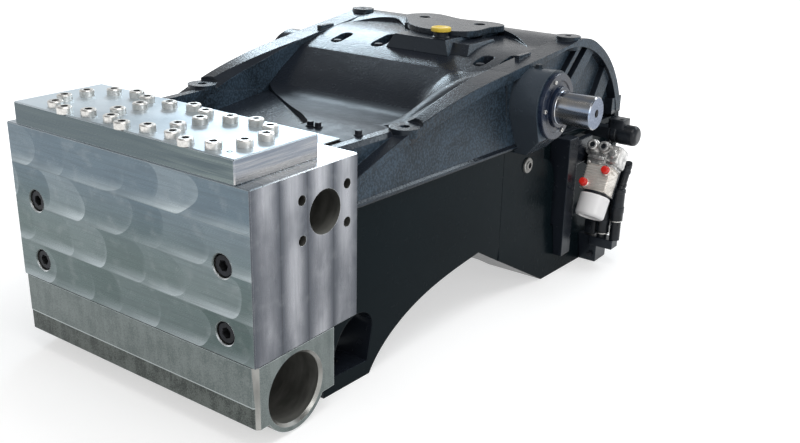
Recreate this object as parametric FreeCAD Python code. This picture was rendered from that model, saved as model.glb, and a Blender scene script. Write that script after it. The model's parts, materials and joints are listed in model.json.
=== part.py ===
import FreeCAD, Part

import math
import os

# Plunger pump with a built-in gearbox, standing on its four feet.
# X runs along the input shaft, Y from the valve block to the gear end, Z up.
# Lengths are millimetres. Everything is drawn from the middle of the valve
# block's front face and the floor, and moved at the end so that the origin
# is at the centre of the floor space that the pump takes up.

V = FreeCAD.Vector

# Gaps
running_gap = 0.05
seat_gap = 0.3
piece_gap = 4.0

# Reach of cutting blocks, larger than the pump, and a height inside the casing
wide = 500.0
above = 700.0
inside_z = 300.0

# Valve block
block_w = 700.0
block_d = 296.0
block_h = 346.0
block_top = 525.0
block_chamfer = 2.0

# Cover plate on the block and its cap screws
cover_w = 632.0
cover_d = 219.0
cover_t = 48.0
screw_ring_r = 89.0
screw_ring_count = 10
screw_ring_pitch = 173.0
screw_ring_x = 15.0
screw_ring_y = 98.0
cap_head_r = 15.0
cap_head_h = 20.0
cap_hex_af = 17.0
cap_hex_depth = 10.0

# Large screws sunk in the front face
front_screw_inset = 75.0
front_screw_drops = (160.0, 295.0)
front_head_r = 22.5
front_head_h = 30.0
front_sink_r = 25.0
front_sink_depth = 34.0
front_hex_af = 22.0
front_hex_depth = 15.0

# Discharge port on the right side of the block
port_y = 198.0
port_drop = 93.5
port_r = 45.0
port_depth = 560.0
port_bolt_dy = 130.0
port_bolt_dz = 79.0
port_bolt_r = 10.5
port_bolt_depth = 45.0

# Suction manifold under the block
manifold_h = 131.0
manifold_d = 222.0
manifold_step = 3.0
manifold_step_h = 46.0
manifold_corner = 10.0
suction_y = 109.0
suction_z = 91.5
suction_r = 72.0
suction_depth = 560.0
suction_lip = 6.0
suction_boss_r = 88.0

# Steel plate that ties the block to the casing
tie_w = 520.0
tie_d = 54.0
tie_h = 110.0

# Side walls of the casing. They spread towards the gear end.
wall_front_x = 325.0
wall_spread = 0.0575
rim_w = 61.0
rim_flat_w = 30.0
rim_dip = 15.0
shelf_z = 520.0
shelf_bevel = 9.0
wall_in = 4.0
wall_root = 150.0
ridge_z = 400.0
ridge_out = 6.0
panel_in = 13.0
core_x = 255.0
split_y = 863.0
split_z = 593.0
panel_split_z = split_z - 26.0
hump_split_z = split_z - 16.0

# Feet
foot_front_y = 228.0
foot_pocket_depth = 118.0
rear_foot_flare = 14.0
rear_foot_crease_z = 146.0
toe_y = 1058.0
heel_y = 1330.0
foot_gap_w = 430.0
foot_gap_h = 46.0
foot_gap_front_end_y = 520.0
foot_gap_rear_start_y = toe_y - 60.0
anchor_r = 13.0
anchor_y = 312.0
anchor_depth = 60.0

# Gear drum at the rear and the ribbed recess in its sides
drum_y = 1150.0
drum_z = 330.0
drum_r = 310.0
drum_rim = 24.0
drum_top_z = drum_z + drum_r
rim_crown_drop = 14.0
panel_crown_drop = 25.0
hump_crown_drop = 24.0
recess_depth = 26.0
recess_bend = ((1052.0, 340.0), (1095.0, 314.0), (1113.0, 250.0))
strap_h = 16.0
strap_tail = 70.0
ledge_rise = 54.0
ledge_t = 16.0

# Hood between the cheeks
hood_diagonal = ((114.0, 422.0), (-274.0, 712.0))
hood_deck_z = 520.0
pocket_floor_z = hood_deck_z - 12.0
pocket_fall_x = 0.14
pocket_fall_y = 0.091
strip_front_y = block_d + tie_d

# Lugs and pads for lifting and mounting
lug_x = 309.0
lug_y = 507.0
lug_z = 527.0
lug_r = 35.0
lug_neck_r = 22.0
lug_t = 19.0
lug_hole_r = 11.0
pad_x = 340.0
pad_y = 1186.0
pad_drop = 2.0
pad_z = drum_top_z - pad_drop
pad_r = 32.0
pad_t = 14.0
pad_hole_r = 8.5
drum_lug_y = (1400.0, 1459.0)
drum_lug_z = (394.0, 440.0)
drum_lug_w = 30.0
lug_hole_depth = 30.0

# Input shaft, its bearing boss and seal
shaft_behind_split = 97.0
shaft_y = split_y + shaft_behind_split
shaft_z = 506.5
shaft_r = 40.0
shaft_end_x = 540.0
shaft_start_x = 372.0
shaft_chamfer = 3.0
centre_hole_r = 7.0
centre_hole_depth = 28.0
collar_r = 50.0
collar_end_x = 449.0
boss_r = 87.0
boss_foot_r = 52.0
boss_base_x = 330.0
boss_face_x = 427.0
boss_leg_drop = 120.0
boss_slope_drop = 78.0
boss_slope_in = 38.0
boss_side_lean = 10.0
seal_r = 81.0
seal_t = 12.0
seal_screw_ring_r = 68.0
seal_screw_turns = (0.0, 112.0, 180.0, 292.0)
seal_screw_r = 6.0
seal_screw_h = 5.0

# Top of the gear housing
cover_base = (-72.0, 150.0, 915.0, 1100.0)
cover_top = (-40.0, 118.0, 940.0, 1096.0)
cover_side_base = (100.0, 204.0, 903.0, 1096.0)
cover_side_top = (100.0, 172.0, 970.0, 1090.0)
cover_drop = 11.0
cover_block_z = drum_top_z - cover_drop
cover_step_drop = 8.0
cover_block_h = 61.0
cover_block_low = cover_block_z - cover_block_h
breather_x = 90.0
breather_y = 962.0
breather_neck_r = 22.0
breather_neck_h = 19.0
breather_cap_r = 26.0
breather_cap_h = 10.0
breather_cap_bevel = 2.5
flange_lift = 3.0
flange_z = drum_top_z + flange_lift
flange_t = 16.0
flange_hole_x = 90.0
flange_hole_y = 1150.0
flange_hole_r = 16.0
flange_foot_y = (1105.0, 1195.0)
flange_foot_h = 43.0
flange_foot_z = flange_z - flange_foot_h
flange_foot_w = 76.0
flange_foot_room = 6.0

# Bolts on the deck and on the right wall
deck_bolt_x = (138.0, 158.0, 262.0)
deck_bolt_y = (strip_front_y + 49.0, strip_front_y + 51.0, strip_front_y + 58.0)
deck_bolt_flats = 14.0
deck_bolt_h = 11.0
wall_bolt_y = 972.0
wall_bolt_z = 340.0
wall_bolt_flats = 19.0
wall_bolt_h = 12.0
washer_r = 20.0
washer_t = 5.0

# Bolts in rounded pockets behind the split, each pocket (x, start y, end y, half width, floor z)
pockets = ((-220.0, 904.0, 977.0, 18.0, 576.0), (-91.0, 916.0, 1018.0, 21.0, 580.0),
           (238.0, 900.0, 967.0, 18.0, 574.0))
split_bolt_r = 13.0
split_bolt_h = 17.0
rim_bar_x = (312.0, 324.0)
rim_bar_y = (958.0, 1016.0)
rim_bar_h = 9.0
rim_slot = (293.0, 924.0, 990.0, 8.0, 590.0)

# Oil unit on the right side of the gear end. It leans forward at its foot.
# Its own lengths are along x, depth (away from the valve block) and height.
unit_y = drum_y + 56.0
unit_z = drum_z - 26.0
unit_lean = 30.0
cooler_x = (416.0, 490.0)
cooler_depth = 62.0
cooler_h = 71.0
cooler_corner = 5.0
cap_r = 11.5
cap_l = 16.0
cap_spots = ((475.0, -12.0), (425.0, -55.0))
pump_gap = 5.0
pump_h = 58.0
pump_box_x = (464.0, 501.0)
pump_body_x = (396.0, 464.0)
pump_depth = 66.0
pump_face = 6.0
pump_drop = 4.0
pump_bevel = 7.0
pump_lug_r = 12.0
pump_lug_rise = 33.0
port_spots = ((420.0, 49.0), (452.0, 49.0))
port_socket_r = 15.0
port_socket_l = 14.0
port_bore_r = 7.0
filter_x = 455.0
filter_r = 40.5
filter_h = 60.0
filter_bevel = 6.0
filter_neck_r = 30.0
filter_neck_h = 9.0
unit_plate_x = (420.0, 486.0)
unit_plate_t = 16.0
unit_link_x = (378.0, 430.0)
unit_link_h = (10.0, 54.0)
unit_arm_z = (unit_z - 10.0, unit_z + 58.0)
unit_arm_reach = 75.0

# Bracket, foot, housings and small cylinder around the oil unit
post_y = (1122.0, 1172.0)
post_z = (52.0, 380.0)
post_out = 30.0
foot_x = 441.0
foot_y = (1262.0, 1330.0)
foot_h = 76.0
foot_slope = 22.0
shelf_x = 489.0
shelf_y = (1258.0, 1298.0)
shelf_low = 50.0
can_y = 1278.0
near_can = (448.0, 21.5, 90.0, 226.0)
far_can = (486.0, 19.0, 133.0, 226.0)
can_stem_r = 10.0
tube_r = 13.0
tube_l = 88.0
tube_sink = 14.0
valve_r = 28.0
valve_x = (432.0, 511.0)
valve_bevel = 12.0
valve_y = 1312.0
valve_z = 369.0
valve_block_x = (430.0, 474.0)
valve_block_y = (1290.0, 1336.0)
valve_block_h = 42.0
valve_arm_h = 30.0
valve_arm_w = 34.0


def wall_x(y):
    """Distance from the middle plane to the outer face of a side wall."""
    return wall_front_x + wall_spread * (y - block_d)


def box(x0, x1, y0, y1, z0, z1):
    return Part.makeBox(x1 - x0, y1 - y0, z1 - z0, V(x0, y0, z0))


def rod_x(x0, x1, y, z, r):
    return Part.makeCylinder(r, x1 - x0, V(x0, y, z), V(1, 0, 0))


def rod_y(x, y0, y1, z, r):
    return Part.makeCylinder(r, y1 - y0, V(x, y0, z), V(0, 1, 0))


def rod_z(x, y, z0, z1, r):
    return Part.makeCylinder(r, z1 - z0, V(x, y, z0), V(0, 0, 1))


def slot(x, y0, y1, r, z):
    """A cutter with rounded ends, open upwards from the floor height z."""
    body = box(x - r, x + r, y0 + r, y1 - r, z, above)
    return body.fuse(rod_z(x, y0 + r, z, above, r)).fuse(rod_z(x, y1 - r, z, above, r))


def mirrored(shape):
    return shape.mirror(V(0, 0, 0), V(1, 0, 0))


def both_sides(shape):
    return shape.fuse(mirrored(shape)).removeSplitter()


def hexagon(centre, normal, flats, depth):
    """A hexagonal prism that starts at centre and runs along normal."""
    corner = flats / math.sqrt(3.0)
    across = V(0, 0, 1) if abs(normal.z) < 0.5 else V(1, 0, 0)
    side = normal.cross(across)
    ring = []
    for k in range(7):
        turn = math.radians(60.0 * k)
        ring.append(centre + across * (corner * math.cos(turn)) + side * (corner * math.sin(turn)))
    return Part.Face(Part.makePolygon(ring)).extrude(normal * depth)


def cap_head(seat, normal, r, h, flats, depth):
    """A socket cap screw's head that sits on seat and points along normal."""
    head = Part.makeCylinder(r, h, seat, normal)
    return head.cut(hexagon(seat + normal * (h - depth), normal, flats, depth + 1.0))


def line_yz(p, q):
    return Part.LineSegment(V(0, p[0], p[1]), V(0, q[0], q[1])).toShape()


def height(points, y):
    """Height of the smooth side view curve through points, at y."""
    curve = Part.BSplineCurve()
    curve.interpolate([V(0, a, b) for a, b in points])
    low, high = curve.FirstParameter, curve.LastParameter
    for step in range(40):
        middle = (low + high) / 2
        if curve.value(middle).y < y:
            low = middle
        else:
            high = middle
    return curve.value(low).z


def along_wall(sections):
    """Join sections into a solid. Each is (y, points), a point (offset from the wall face, z)."""
    rings = []
    for y, points in sections:
        ring = [V(wall_x(y) + off, y, z) for off, z in points]
        rings.append(Part.makePolygon(ring + ring[:1]))
    return Part.makeLoft(rings, True, True)


def chain_yz(points):
    return [line_yz(p, q) for p, q in zip(points, points[1:])]


def curve_yz(points):
    curve = Part.BSplineCurve()
    curve.interpolate([V(0, y, z) for y, z in points])
    return curve.toShape()


def arc_yz(p, middle, q):
    return Part.Arc(V(0, p[0], p[1]), V(0, middle[0], middle[1]), V(0, q[0], q[1])).toShape()


def drum_point(degrees, r=drum_r):
    """A point on the drum's circle: 0 is straight up, 90 is the rear."""
    turn = math.radians(degrees)
    return (drum_y + r * math.sin(turn), drum_z + r * math.cos(turn))


def side_prism(edges, x0, x1):
    """Extrude a closed outline of the side view from x0 to x1."""
    face = Part.Face(Part.Wire(edges))
    prism = face.extrude(V(x1 - x0, 0, 0))
    prism.translate(V(x0, 0, 0))
    return prism


def plan_prism(points, z0, z1):
    ring = [V(x, y, z0) for x, y in points]
    return Part.Face(Part.makePolygon(ring + ring[:1])).extrude(V(0, 0, z1 - z0))


def wall_run(section, y0, y1):
    """Run a section along the right wall. Its points are (offset from the wall face, z)."""
    ring = [V(wall_x(y0) + off, y0, z) for off, z in section]
    face = Part.Face(Part.makePolygon(ring + ring[:1]))
    return face.extrude(V(wall_x(y1) - wall_x(y0), y1 - y0, 0))


# Side view curves, as (y, z) points
rim_front = [(block_d, 450.0), (392.0, 486.0), (521.0, 530.0), (700.0, 571.0), (split_y, split_z)]
rim_rise = drum_top_z - rim_crown_drop - split_z
rim_rear = [(split_y, split_z), (944.0, split_z + 0.3 * rim_rise), (1035.0, split_z + 0.6 * rim_rise),
            (drum_y, split_z + rim_rise)]
panel_front = [(block_d, 429.0), (359.0, 455.0), (438.0, 484.0), (538.0, 508.0), (700.0, 544.0),
               (split_y, panel_split_z)]
panel_rise = drum_top_z - panel_crown_drop - panel_split_z
panel_rear = [(split_y, panel_split_z), (944.0, panel_split_z + 0.31 * panel_rise),
              (1035.0, panel_split_z + 0.67 * panel_rise), (drum_y, panel_split_z + panel_rise)]
arch = [(371.0, 0.0), (398.0, 34.0), (452.0, 76.0), (560.0, 123.0), (692.0, 151.0), (773.0, 162.0)]
foot_arch = [(379.0, 112.0), (370.0, 142.0), (334.0, 158.0), (294.0, 143.0), (266.0, 104.0), (252.0, 38.0)]
foot_arch_corner = (364.0, 34.0)
hood_curve = [(470.0, hood_deck_z), (560.0, 503.0), (650.0, 491.0), (706.0, 489.0), (763.0, 521.0),
              (810.0, 548.0), (split_y, hump_split_z)]
hump_rise = drum_top_z - hump_crown_drop - hump_split_z
hump_curve = [(split_y, hump_split_z), (949.0, hump_split_z + 0.56 * hump_rise),
              (1014.0, hump_split_z + 0.85 * hump_rise), (1129.0, hump_split_z + hump_rise),
              (1225.0, hump_split_z + hump_rise)]
deck_step_left = [(-345.0, 1000.0), (-292.0, 1085.0), (-244.0, 1148.0), (-205.0, 1160.0),
                  (-165.0, 1138.0), (-125.0, 1105.0)]
deck_step_right = [(175.0, 1168.0), (210.0, 1145.0), (250.0, 1109.0), (316.0, 1043.0), (350.0, 1005.0)]
deck_step_rear = ((-130.0, 1188.0), (140.0, 1188.0))
ridge_end = drum_point(math.degrees(math.acos((ridge_z - drum_z) / drum_r)))
shoulder = [(545.0, 70.0, 17.0, 15.0), (600.0, 84.0, 17.0, 15.0), (680.0, 101.0, 19.0, 15.0),
            (771.0, 119.0, 20.0, 11.0), (820.0, 127.0, 18.0, 5.0), (split_y, 132.0, 15.0, 0.5)]
shoulder_run = 55.0
straps = [((1143.0, 551.0), (1183.0, 589.0), 14.0), ((1183.0, 520.0), (1246.0, 579.0), 36.0),
          ((1336.0, 463.0), (1396.0, 560.0), 48.0)]
flange_outline = [(-139.0, 1203.0), (-154.0, 1150.0), (-116.0, 1099.0), (-64.0, 1036.0), (-20.0, 1004.0),
                  (30.0, 990.0), (85.0, 1000.0), (128.0, 1030.0), (140.0, 1075.0), (138.0, 1130.0),
                  (150.0, 1180.0), (120.0, 1205.0), (0.0, 1196.0)]


def front_screw_places():
    x = block_w / 2 - front_screw_inset
    return [(s * x, block_top - drop) for drop in front_screw_drops for s in (-1, 1)]


def make_valve_block():
    block = box(-block_w / 2, block_w / 2, 0, block_d, block_top - block_h, block_top)
    block = block.makeChamfer(block_chamfer, block.Edges)
    z = block_top - port_drop
    mouth = block_w / 2
    block = block.cut(rod_x(mouth - port_depth, mouth + 1, port_y, z, port_r))
    for sy in (-1, 1):
        for sz in (-1, 1):
            block = block.cut(rod_x(mouth - port_bolt_depth, mouth + 1, port_y + sy * port_bolt_dy / 2,
                                    z + sz * port_bolt_dz / 2, port_bolt_r))
    for x, zc in front_screw_places():
        block = block.cut(rod_y(x, -1, front_sink_depth, zc, front_sink_r))
    return block


def make_front_screws():
    heads = [cap_head(V(x, front_sink_depth, z), V(0, -1, 0), front_head_r, front_head_h,
                      front_hex_af, front_hex_depth) for x, z in front_screw_places()]
    return Part.makeCompound(heads)


def make_cover_plate():
    plate = box(-cover_w / 2, cover_w / 2, 0, cover_d, block_top, block_top + cover_t)
    return plate.makeChamfer(block_chamfer, plate.Edges)


def cap_screw_places():
    """Three rings of screws. Neighbouring rings share the two screws between them."""
    places = []
    for ring in (-1, 0, 1):
        for k in range(screw_ring_count):
            turn = math.radians(360.0 / screw_ring_count * (k + 0.5))
            p = (screw_ring_x + ring * screw_ring_pitch + screw_ring_r * math.cos(turn),
                 screw_ring_y + screw_ring_r * math.sin(turn))
            if all(math.hypot(p[0] - q[0], p[1] - q[1]) > 2 * cap_head_r for q in places):
                places.append(p)
    return places


def make_cover_screws():
    top = block_top + cover_t
    heads = [cap_head(V(x, y, top), V(0, 0, 1), cap_head_r, cap_head_h, cap_hex_af,
                      cap_hex_depth) for x, y in cap_screw_places()]
    return Part.makeCompound(heads)


def make_suction_manifold():
    z1 = block_top - block_h
    z0 = z1 - manifold_h
    half = block_w / 2
    body = box(-half, half, 0, manifold_d, z0, z1)
    upright = [e for e in body.Edges
               if abs(e.Vertexes[0].Z - e.Vertexes[1].Z) > 1 and e.Vertexes[0].Y < 1]
    body = body.makeChamfer(manifold_corner, upright)
    body = body.cut(box(-block_w, block_w, -1, manifold_step, z0 - 1, z0 + manifold_step_h))
    body = body.fuse(rod_x(-half, half, suction_y, suction_z, suction_boss_r)).removeSplitter()
    body = body.common(box(-half, half, 0, manifold_d, 0, z1))
    body = body.cut(rod_x(half - suction_depth, half + 1, suction_y, suction_z, suction_r))
    lip = Part.makeCone(suction_r, suction_r + suction_lip, suction_lip,
                        V(half - suction_lip, suction_y, suction_z), V(1, 0, 0))
    return body.cut(lip)


def make_tie_plate():
    return box(-tie_w / 2, tie_w / 2, block_d, block_d + tie_d, block_top - tie_h, block_top)


def foot_pocket():
    """The arched opening in the side of a front foot, and its anchor hole."""
    edges = chain_yz([foot_arch[-1], foot_arch_corner, foot_arch[0]])
    edges.append(curve_yz(foot_arch))
    pocket = side_prism(edges, wall_x(block_d) - foot_pocket_depth, wall_x(block_d) + 60)
    anchor = rod_z(wall_x(block_d) - foot_pocket_depth / 2, anchor_y, -1, anchor_depth, anchor_r)
    return pocket.fuse(anchor)


def arch_line_z(y):
    """Height of the straight slope from the top of the arch down to the toe of the rear foot."""
    top_y, top_z = arch[-1]
    return top_z * (toe_y - y) / (toe_y - top_y)


def front_outline():
    """Side view of the crankcase below the ridge: front foot, arch, split."""
    edges = chain_yz([(foot_front_y, 0.0), arch[0]])
    edges.append(curve_yz(arch))
    edges += chain_yz([arch[-1], (split_y, arch_line_z(split_y)), (split_y, ridge_z),
                       (block_d, ridge_z), (block_d, block_top - block_h),
                       (foot_front_y, block_top - block_h), (foot_front_y, 0.0)])
    return edges


def cheek(rim, panel):
    """A cheek above the ridge: battered panel under an overhanging rim."""
    y0, y1 = rim[0][0], rim[-1][0]
    lean = panel_in * (above - ridge_z) / (panel[-1][1] - ridge_z)
    bead = ridge_z + ridge_out
    section = [(-rim_w, ridge_z), (ridge_out, ridge_z), (ridge_out, bead), (0.0, bead + ridge_out),
               (-lean, above), (-rim_w, above)]
    under = wall_run(section, y0, y1)
    panel_edges = [curve_yz(panel)] + chain_yz([panel[-1], (y1, ridge_z), (y0, ridge_z), panel[0]])
    under = under.common(side_prism(panel_edges, 0, wide))
    band = wall_run([(-rim_w, ridge_z), (0.0, ridge_z), (0.0, above), (-rim_w, above)], y0, y1)
    band_edges = [curve_yz(rim), line_yz(rim[-1], panel[-1]), curve_yz(panel[::-1]),
                  line_yz(panel[0], rim[0])]
    band = band.common(side_prism(band_edges, 0, wide))
    return under.fuse(band)


def rim_slope():
    """What is cut from the inner part of the front rims, which slopes inward."""
    sections = []
    for y, flat, dip in ((lug_y - 60, rim_flat_w, rim_dip), (lug_y + 60, rim_flat_w + 4, rim_dip),
                         (620.0, rim_flat_w + 11, rim_dip), (740.0, rim_w - 8, rim_dip),
                         (800.0, rim_w - 4, rim_dip / 2), (split_y + 1, rim_w - 2, 0.5)):
        z = height(rim_front, min(y, split_y))
        sections.append((y, [(-flat, z), (-flat, z + 30), (-rim_w - 5, z + 30), (-rim_w - 5, z - dip)]))
    return along_wall(sections)


def front_shelf():
    """The level shelf at the front of a cheek, flush with the deck, with a bevelled edge."""
    section = [(-rim_w, ridge_z), (-rim_flat_w, ridge_z), (-rim_flat_w, shelf_z - shelf_bevel),
               (-rim_flat_w - shelf_bevel, shelf_z), (-rim_w, shelf_z)]
    return wall_run(section, block_d, lug_y)


def inner_plan(y0, y1):
    """Plan of the space between the cheeks."""
    a, b = wall_x(y0) - rim_w, wall_x(y1) - rim_w
    return [(-a, y0), (a, y0), (b, y1), (-b, y1)]


def pocket_plan():
    """Plan of the sunken pocket beside the left cheek."""
    (x0, y0), (x1, y1) = hood_diagonal
    slope = (y1 - y0) / (x1 - x0)
    corner = -(wall_x(y1) - rim_w)
    front = strip_front_y
    return [(x0, front), (x0, y0), (corner, y0 + slope * (corner - x0)),
            (-(wall_x(front) - rim_w), front)]


def pocket_floor():
    """Solid floor of the sunken pocket. It falls towards the front left corner."""
    x0, y0 = hood_diagonal[0]
    low = [V(x, y, ridge_z) for x, y in pocket_plan()]
    high = [V(x, y, pocket_floor_z + pocket_fall_x * (x - x0) + pocket_fall_y * (y - y0))
            for x, y in pocket_plan()]
    return Part.makeLoft([Part.makePolygon(ring + ring[:1]) for ring in (low, high)], True, True)


def make_crankcase():
    """Front casting: lower walls with the front feet, and the cheeks with their rims."""
    y0, y1 = foot_front_y, split_y
    walls = wall_run([(-wall_root, 0.0), (-wall_in, 0.0), (-wall_in, ridge_z), (-wall_root, ridge_z)],
                     y0, y1)
    core = box(0, core_x, y0, y1, 0, ridge_z)
    lower = walls.fuse(core).common(side_prism(front_outline(), 0, wide))
    lower = lower.cut(foot_pocket())
    lower = lower.cut(box(-1, foot_gap_w / 2, y0 - 1, foot_gap_front_end_y, -1, foot_gap_h))
    half = lower.fuse(cheek(rim_front, panel_front).cut(rim_slope())).fuse(front_shelf())
    half = half.cut(rod_z(lug_x, lug_y, lug_z, lug_z + 60, lug_r + 3))
    neck_z = lug_z - lug_t
    half = half.fuse(rod_z(lug_x, lug_y, neck_z, lug_z, lug_r))
    half = half.fuse(Part.makeCone(lug_neck_r, lug_r, lug_t, V(lug_x, lug_y, neck_z - lug_t)))
    half = half.cut(rod_z(lug_x, lug_y, lug_z - lug_hole_depth, lug_z + 9, lug_hole_r))
    body = both_sides(half)
    return body.fuse(pocket_floor()).removeSplitter()


def hood_shoulder():
    """The rounded shoulder that blends the hood into the right rim."""
    rings = []
    for y, inward, fall, dip in shoulder:
        top = height(rim_front, y)
        foot = height(hood_curve, y) - 2.0
        outer, inner = wall_x(y) - rim_w, wall_x(y) - inward - shoulder_run
        crest = top - fall
        curve = Part.BSplineCurve()
        curve.interpolate([V(outer, y, top - dip), V(wall_x(y) - inward, y, crest),
                           V(inner + shoulder_run / 2, y, (crest + foot) / 2), V(inner, y, foot)])
        down = Part.makeLine(V(inner, y, foot), V(outer, y, foot - 1.0))
        back = Part.makeLine(V(outer, y, foot - 1.0), V(outer, y, top - dip))
        rings.append(Part.Wire([curve.toShape(), down, back]))
    return Part.makeLoft(rings, True, False)


def make_hood(crankcase):
    """The curved cover that runs from the deck behind the block up to the split."""
    y0, y1 = strip_front_y, split_y
    edges = chain_yz([(y0, ridge_z), (y0, hood_deck_z), hood_curve[0]])
    edges.append(curve_yz(hood_curve))
    edges += chain_yz([hood_curve[-1], (y1, ridge_z), (y0, ridge_z)])
    hood = side_prism(edges, -wide, wide)
    hood = hood.common(plan_prism(inner_plan(y0, y1), inside_z, above)).fuse(hood_shoulder())
    return hood.cut(plan_prism(pocket_plan(), inside_z, above)).cut(crankcase)


def rear_lower_outline():
    low = drum_point(180.0 - 36.0)
    edges = chain_yz([(split_y, ridge_z), (split_y, arch_line_z(split_y)), (toe_y, 0.0),
                      (heel_y, 0.0), low])
    edges.append(arc_yz(low, drum_point(110.0), ridge_end))
    edges.append(line_yz(ridge_end, (split_y, ridge_z)))
    return edges


def recess_cutter():
    """The round hollow in the side of the drum, open towards the outside."""
    ring = []
    for y in (drum_y - drum_r, drum_y + drum_r):
        ring.append((wall_x(y) - recess_depth, y))
    ring += [(wide, drum_y + drum_r), (wide, drum_y - drum_r)]
    disc = rod_x(core_x, wide, drum_y, drum_z, drum_r - drum_rim).common(plan_prism(ring, 0, above))
    start, end = recess_bend[0], recess_bend[-1]
    bottom = rear_foot_crease_z - 10.0
    far = drum_y + drum_r
    keep = chain_yz([(start[0], above), start])
    keep.append(arc_yz(*recess_bend))
    keep += chain_yz([end, (end[0], bottom), (far, bottom), (far, above), (start[0], above)])
    return disc.common(side_prism(keep, 0, wide))


def web_straps():
    """Slanting straps and a level ledge that stiffen the floor of the hollow."""
    ribs = None
    for (y0, z0), (y1, z1), w in straps:
        length = math.hypot(y1 - y0, z1 - z0)
        along = V(0, (y1 - y0) / length, (z1 - z0) / length)
        side = V(0, -along.z, along.y) * (w / 2)
        start, end = V(0, y0, z0) - along * strap_tail, V(0, y1, z1) + along * strap_tail
        ring = [start - side, end - side, end + side, start + side, start - side]
        strap = Part.Face(Part.makePolygon(ring)).extrude(V(wide, 0, 0))
        ribs = strap if ribs is None else ribs.fuse(strap)
    z = drum_z + ledge_rise
    ribs = ribs.fuse(box(0, wide, drum_y, drum_y + drum_r, z - ledge_t, z))
    ring = []
    for y in (drum_y - drum_r, drum_y + drum_r):
        ring.append((wall_x(y) - recess_depth + strap_h, y))
    ring += [(core_x, drum_y + drum_r), (core_x, drum_y - drum_r)]
    return ribs.common(plan_prism(ring, 0, above)).common(recess_cutter())


def drum_top():
    """Upper rear part of the wall and rim, from the rim's last point round the drum."""
    start = rim_rear[-1]
    edges = [curve_yz([start, drum_point(15.0), drum_point(27.0)]),
             arc_yz(drum_point(27.0), drum_point(50.0), ridge_end)]
    edges += chain_yz([ridge_end, (drum_y, ridge_z), start])
    y0, y1 = drum_y, drum_y + drum_r
    wall = wall_run([(-rim_w, ridge_z), (0.0, ridge_z), (0.0, above), (-rim_w, above)], y0, y1)
    return wall.common(side_prism(edges, 0, wide))


def make_gear_housing():
    """Rear casting: rear feet, drum, rims and ribbed side webs."""
    y0, y1 = split_y, drum_y + drum_r
    walls = wall_run([(-wall_root, 0.0), (rear_foot_flare - wall_in, 0.0), (-wall_in, rear_foot_crease_z),
                      (-wall_in, ridge_z), (-wall_root, ridge_z)], y0, y1)
    core = box(0, core_x, y0, y1, 0, ridge_z)
    lower = walls.fuse(core).common(side_prism(rear_lower_outline(), 0, wide))
    lower = lower.cut(box(-1, foot_gap_w / 2, foot_gap_rear_start_y, heel_y + 9, -1, foot_gap_h))
    half = lower.fuse(cheek(rim_rear, panel_rear)).fuse(drum_top())
    half = half.cut(recess_cutter()).fuse(web_straps())
    half = half.fuse(rod_z(pad_x, pad_y, pad_z - pad_t - 20, pad_z, pad_r))
    half = half.cut(rod_z(pad_x, pad_y, pad_z - 24, pad_z + 5, pad_hole_r))
    edge = wall_x(drum_y + drum_r) - wall_in
    half = half.fuse(box(edge - drum_lug_w, edge, *drum_lug_y, *drum_lug_z))
    a, b = rim_bar_y
    half = half.fuse(box(*rim_bar_x, a, b, split_z - 20, height(rim_rear, b) + rim_bar_h / 2))
    half = half.cut(boss_shape(boss_base_x, wide))
    return both_sides(half)


def plan_curve(points):
    curve = Part.BSplineCurve()
    curve.interpolate([V(x, y, inside_z) for x, y in points])
    return curve.toShape()


def plan_lines(points):
    ends = [V(x, y, inside_z) for x, y in points]
    return [Part.LineSegment(p, q).toShape() for p, q in zip(ends, ends[1:])]


def rear_deck():
    """The raised rear part of the top, flush with the rims, behind a curved step."""
    start = rim_rear[-2]
    edges = [curve_yz([start, rim_rear[-1], drum_point(15.0), drum_point(27.0)]),
             arc_yz(drum_point(27.0), drum_point(50.0), ridge_end)]
    edges += chain_yz([ridge_end, (start[0], ridge_z), start])
    inner = plan_prism(inner_plan(start[0], drum_y + drum_r), inside_z, above)
    deck = side_prism(edges, -wide, wide).common(inner)
    far = drum_y + drum_r + 1.0
    outline = [plan_curve(deck_step_left)]
    outline += plan_lines([deck_step_left[-1], *deck_step_rear, deck_step_right[0]])
    outline.append(plan_curve(deck_step_right))
    outline += plan_lines([deck_step_right[-1], (wide, far), (-wide, far), deck_step_left[0]])
    return deck.common(Part.Face(Part.Wire(outline)).extrude(V(0, 0, above)))


def make_gear_top():
    """Top cover of the gear housing between the rims, with pockets for the split bolts."""
    end = drum_point(26.0)
    edges = [curve_yz(hump_curve + [end]), arc_yz(end, drum_point(50.0), ridge_end)]
    edges += chain_yz([ridge_end, (split_y, ridge_z), hump_curve[0]])
    hump = side_prism(edges, -wide, wide)
    hump = hump.common(plan_prism(inner_plan(split_y, drum_y + drum_r), inside_z, above))
    hump = hump.fuse(rear_deck()).removeSplitter()
    for pocket in pockets + (rim_slot,):
        hump = hump.cut(slot(*pocket))
    return hump


def make_split_bolts():
    heads = [hexagon(V(x, start + r, z), V(0, 0, 1), 2 * split_bolt_r, split_bolt_h)
             for x, start, end, r, z in pockets]
    return Part.makeCompound(heads)


def boss_shape(x0, x1):
    """A boss with a round top, drawn-in sides and a sloping foot."""
    lean = math.radians(boss_side_lean)
    dy, dz = boss_r * math.cos(lean), -boss_r * math.sin(lean)
    a, b = (shaft_y - dy, shaft_z + dz), (shaft_y + dy, shaft_z + dz)
    low = shaft_z - boss_leg_drop
    foot_a, foot_b = (shaft_y - boss_foot_r, low), (shaft_y + boss_foot_r, low)
    outline = chain_yz([a, foot_a, foot_b, b])
    outline.append(arc_yz(b, (shaft_y, shaft_z + boss_r), a))
    boss = side_prism(outline, x0, x1)
    slope = Part.makePolygon([V(x1, 0, shaft_z - boss_slope_drop), V(x1 - boss_slope_in, 0, low - 0.1),
                              V(x1 + 1, 0, low - 0.1), V(x1, 0, shaft_z - boss_slope_drop)])
    return boss.cut(Part.Face(slope).extrude(V(0, drum_y + drum_r, 0)))


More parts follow.
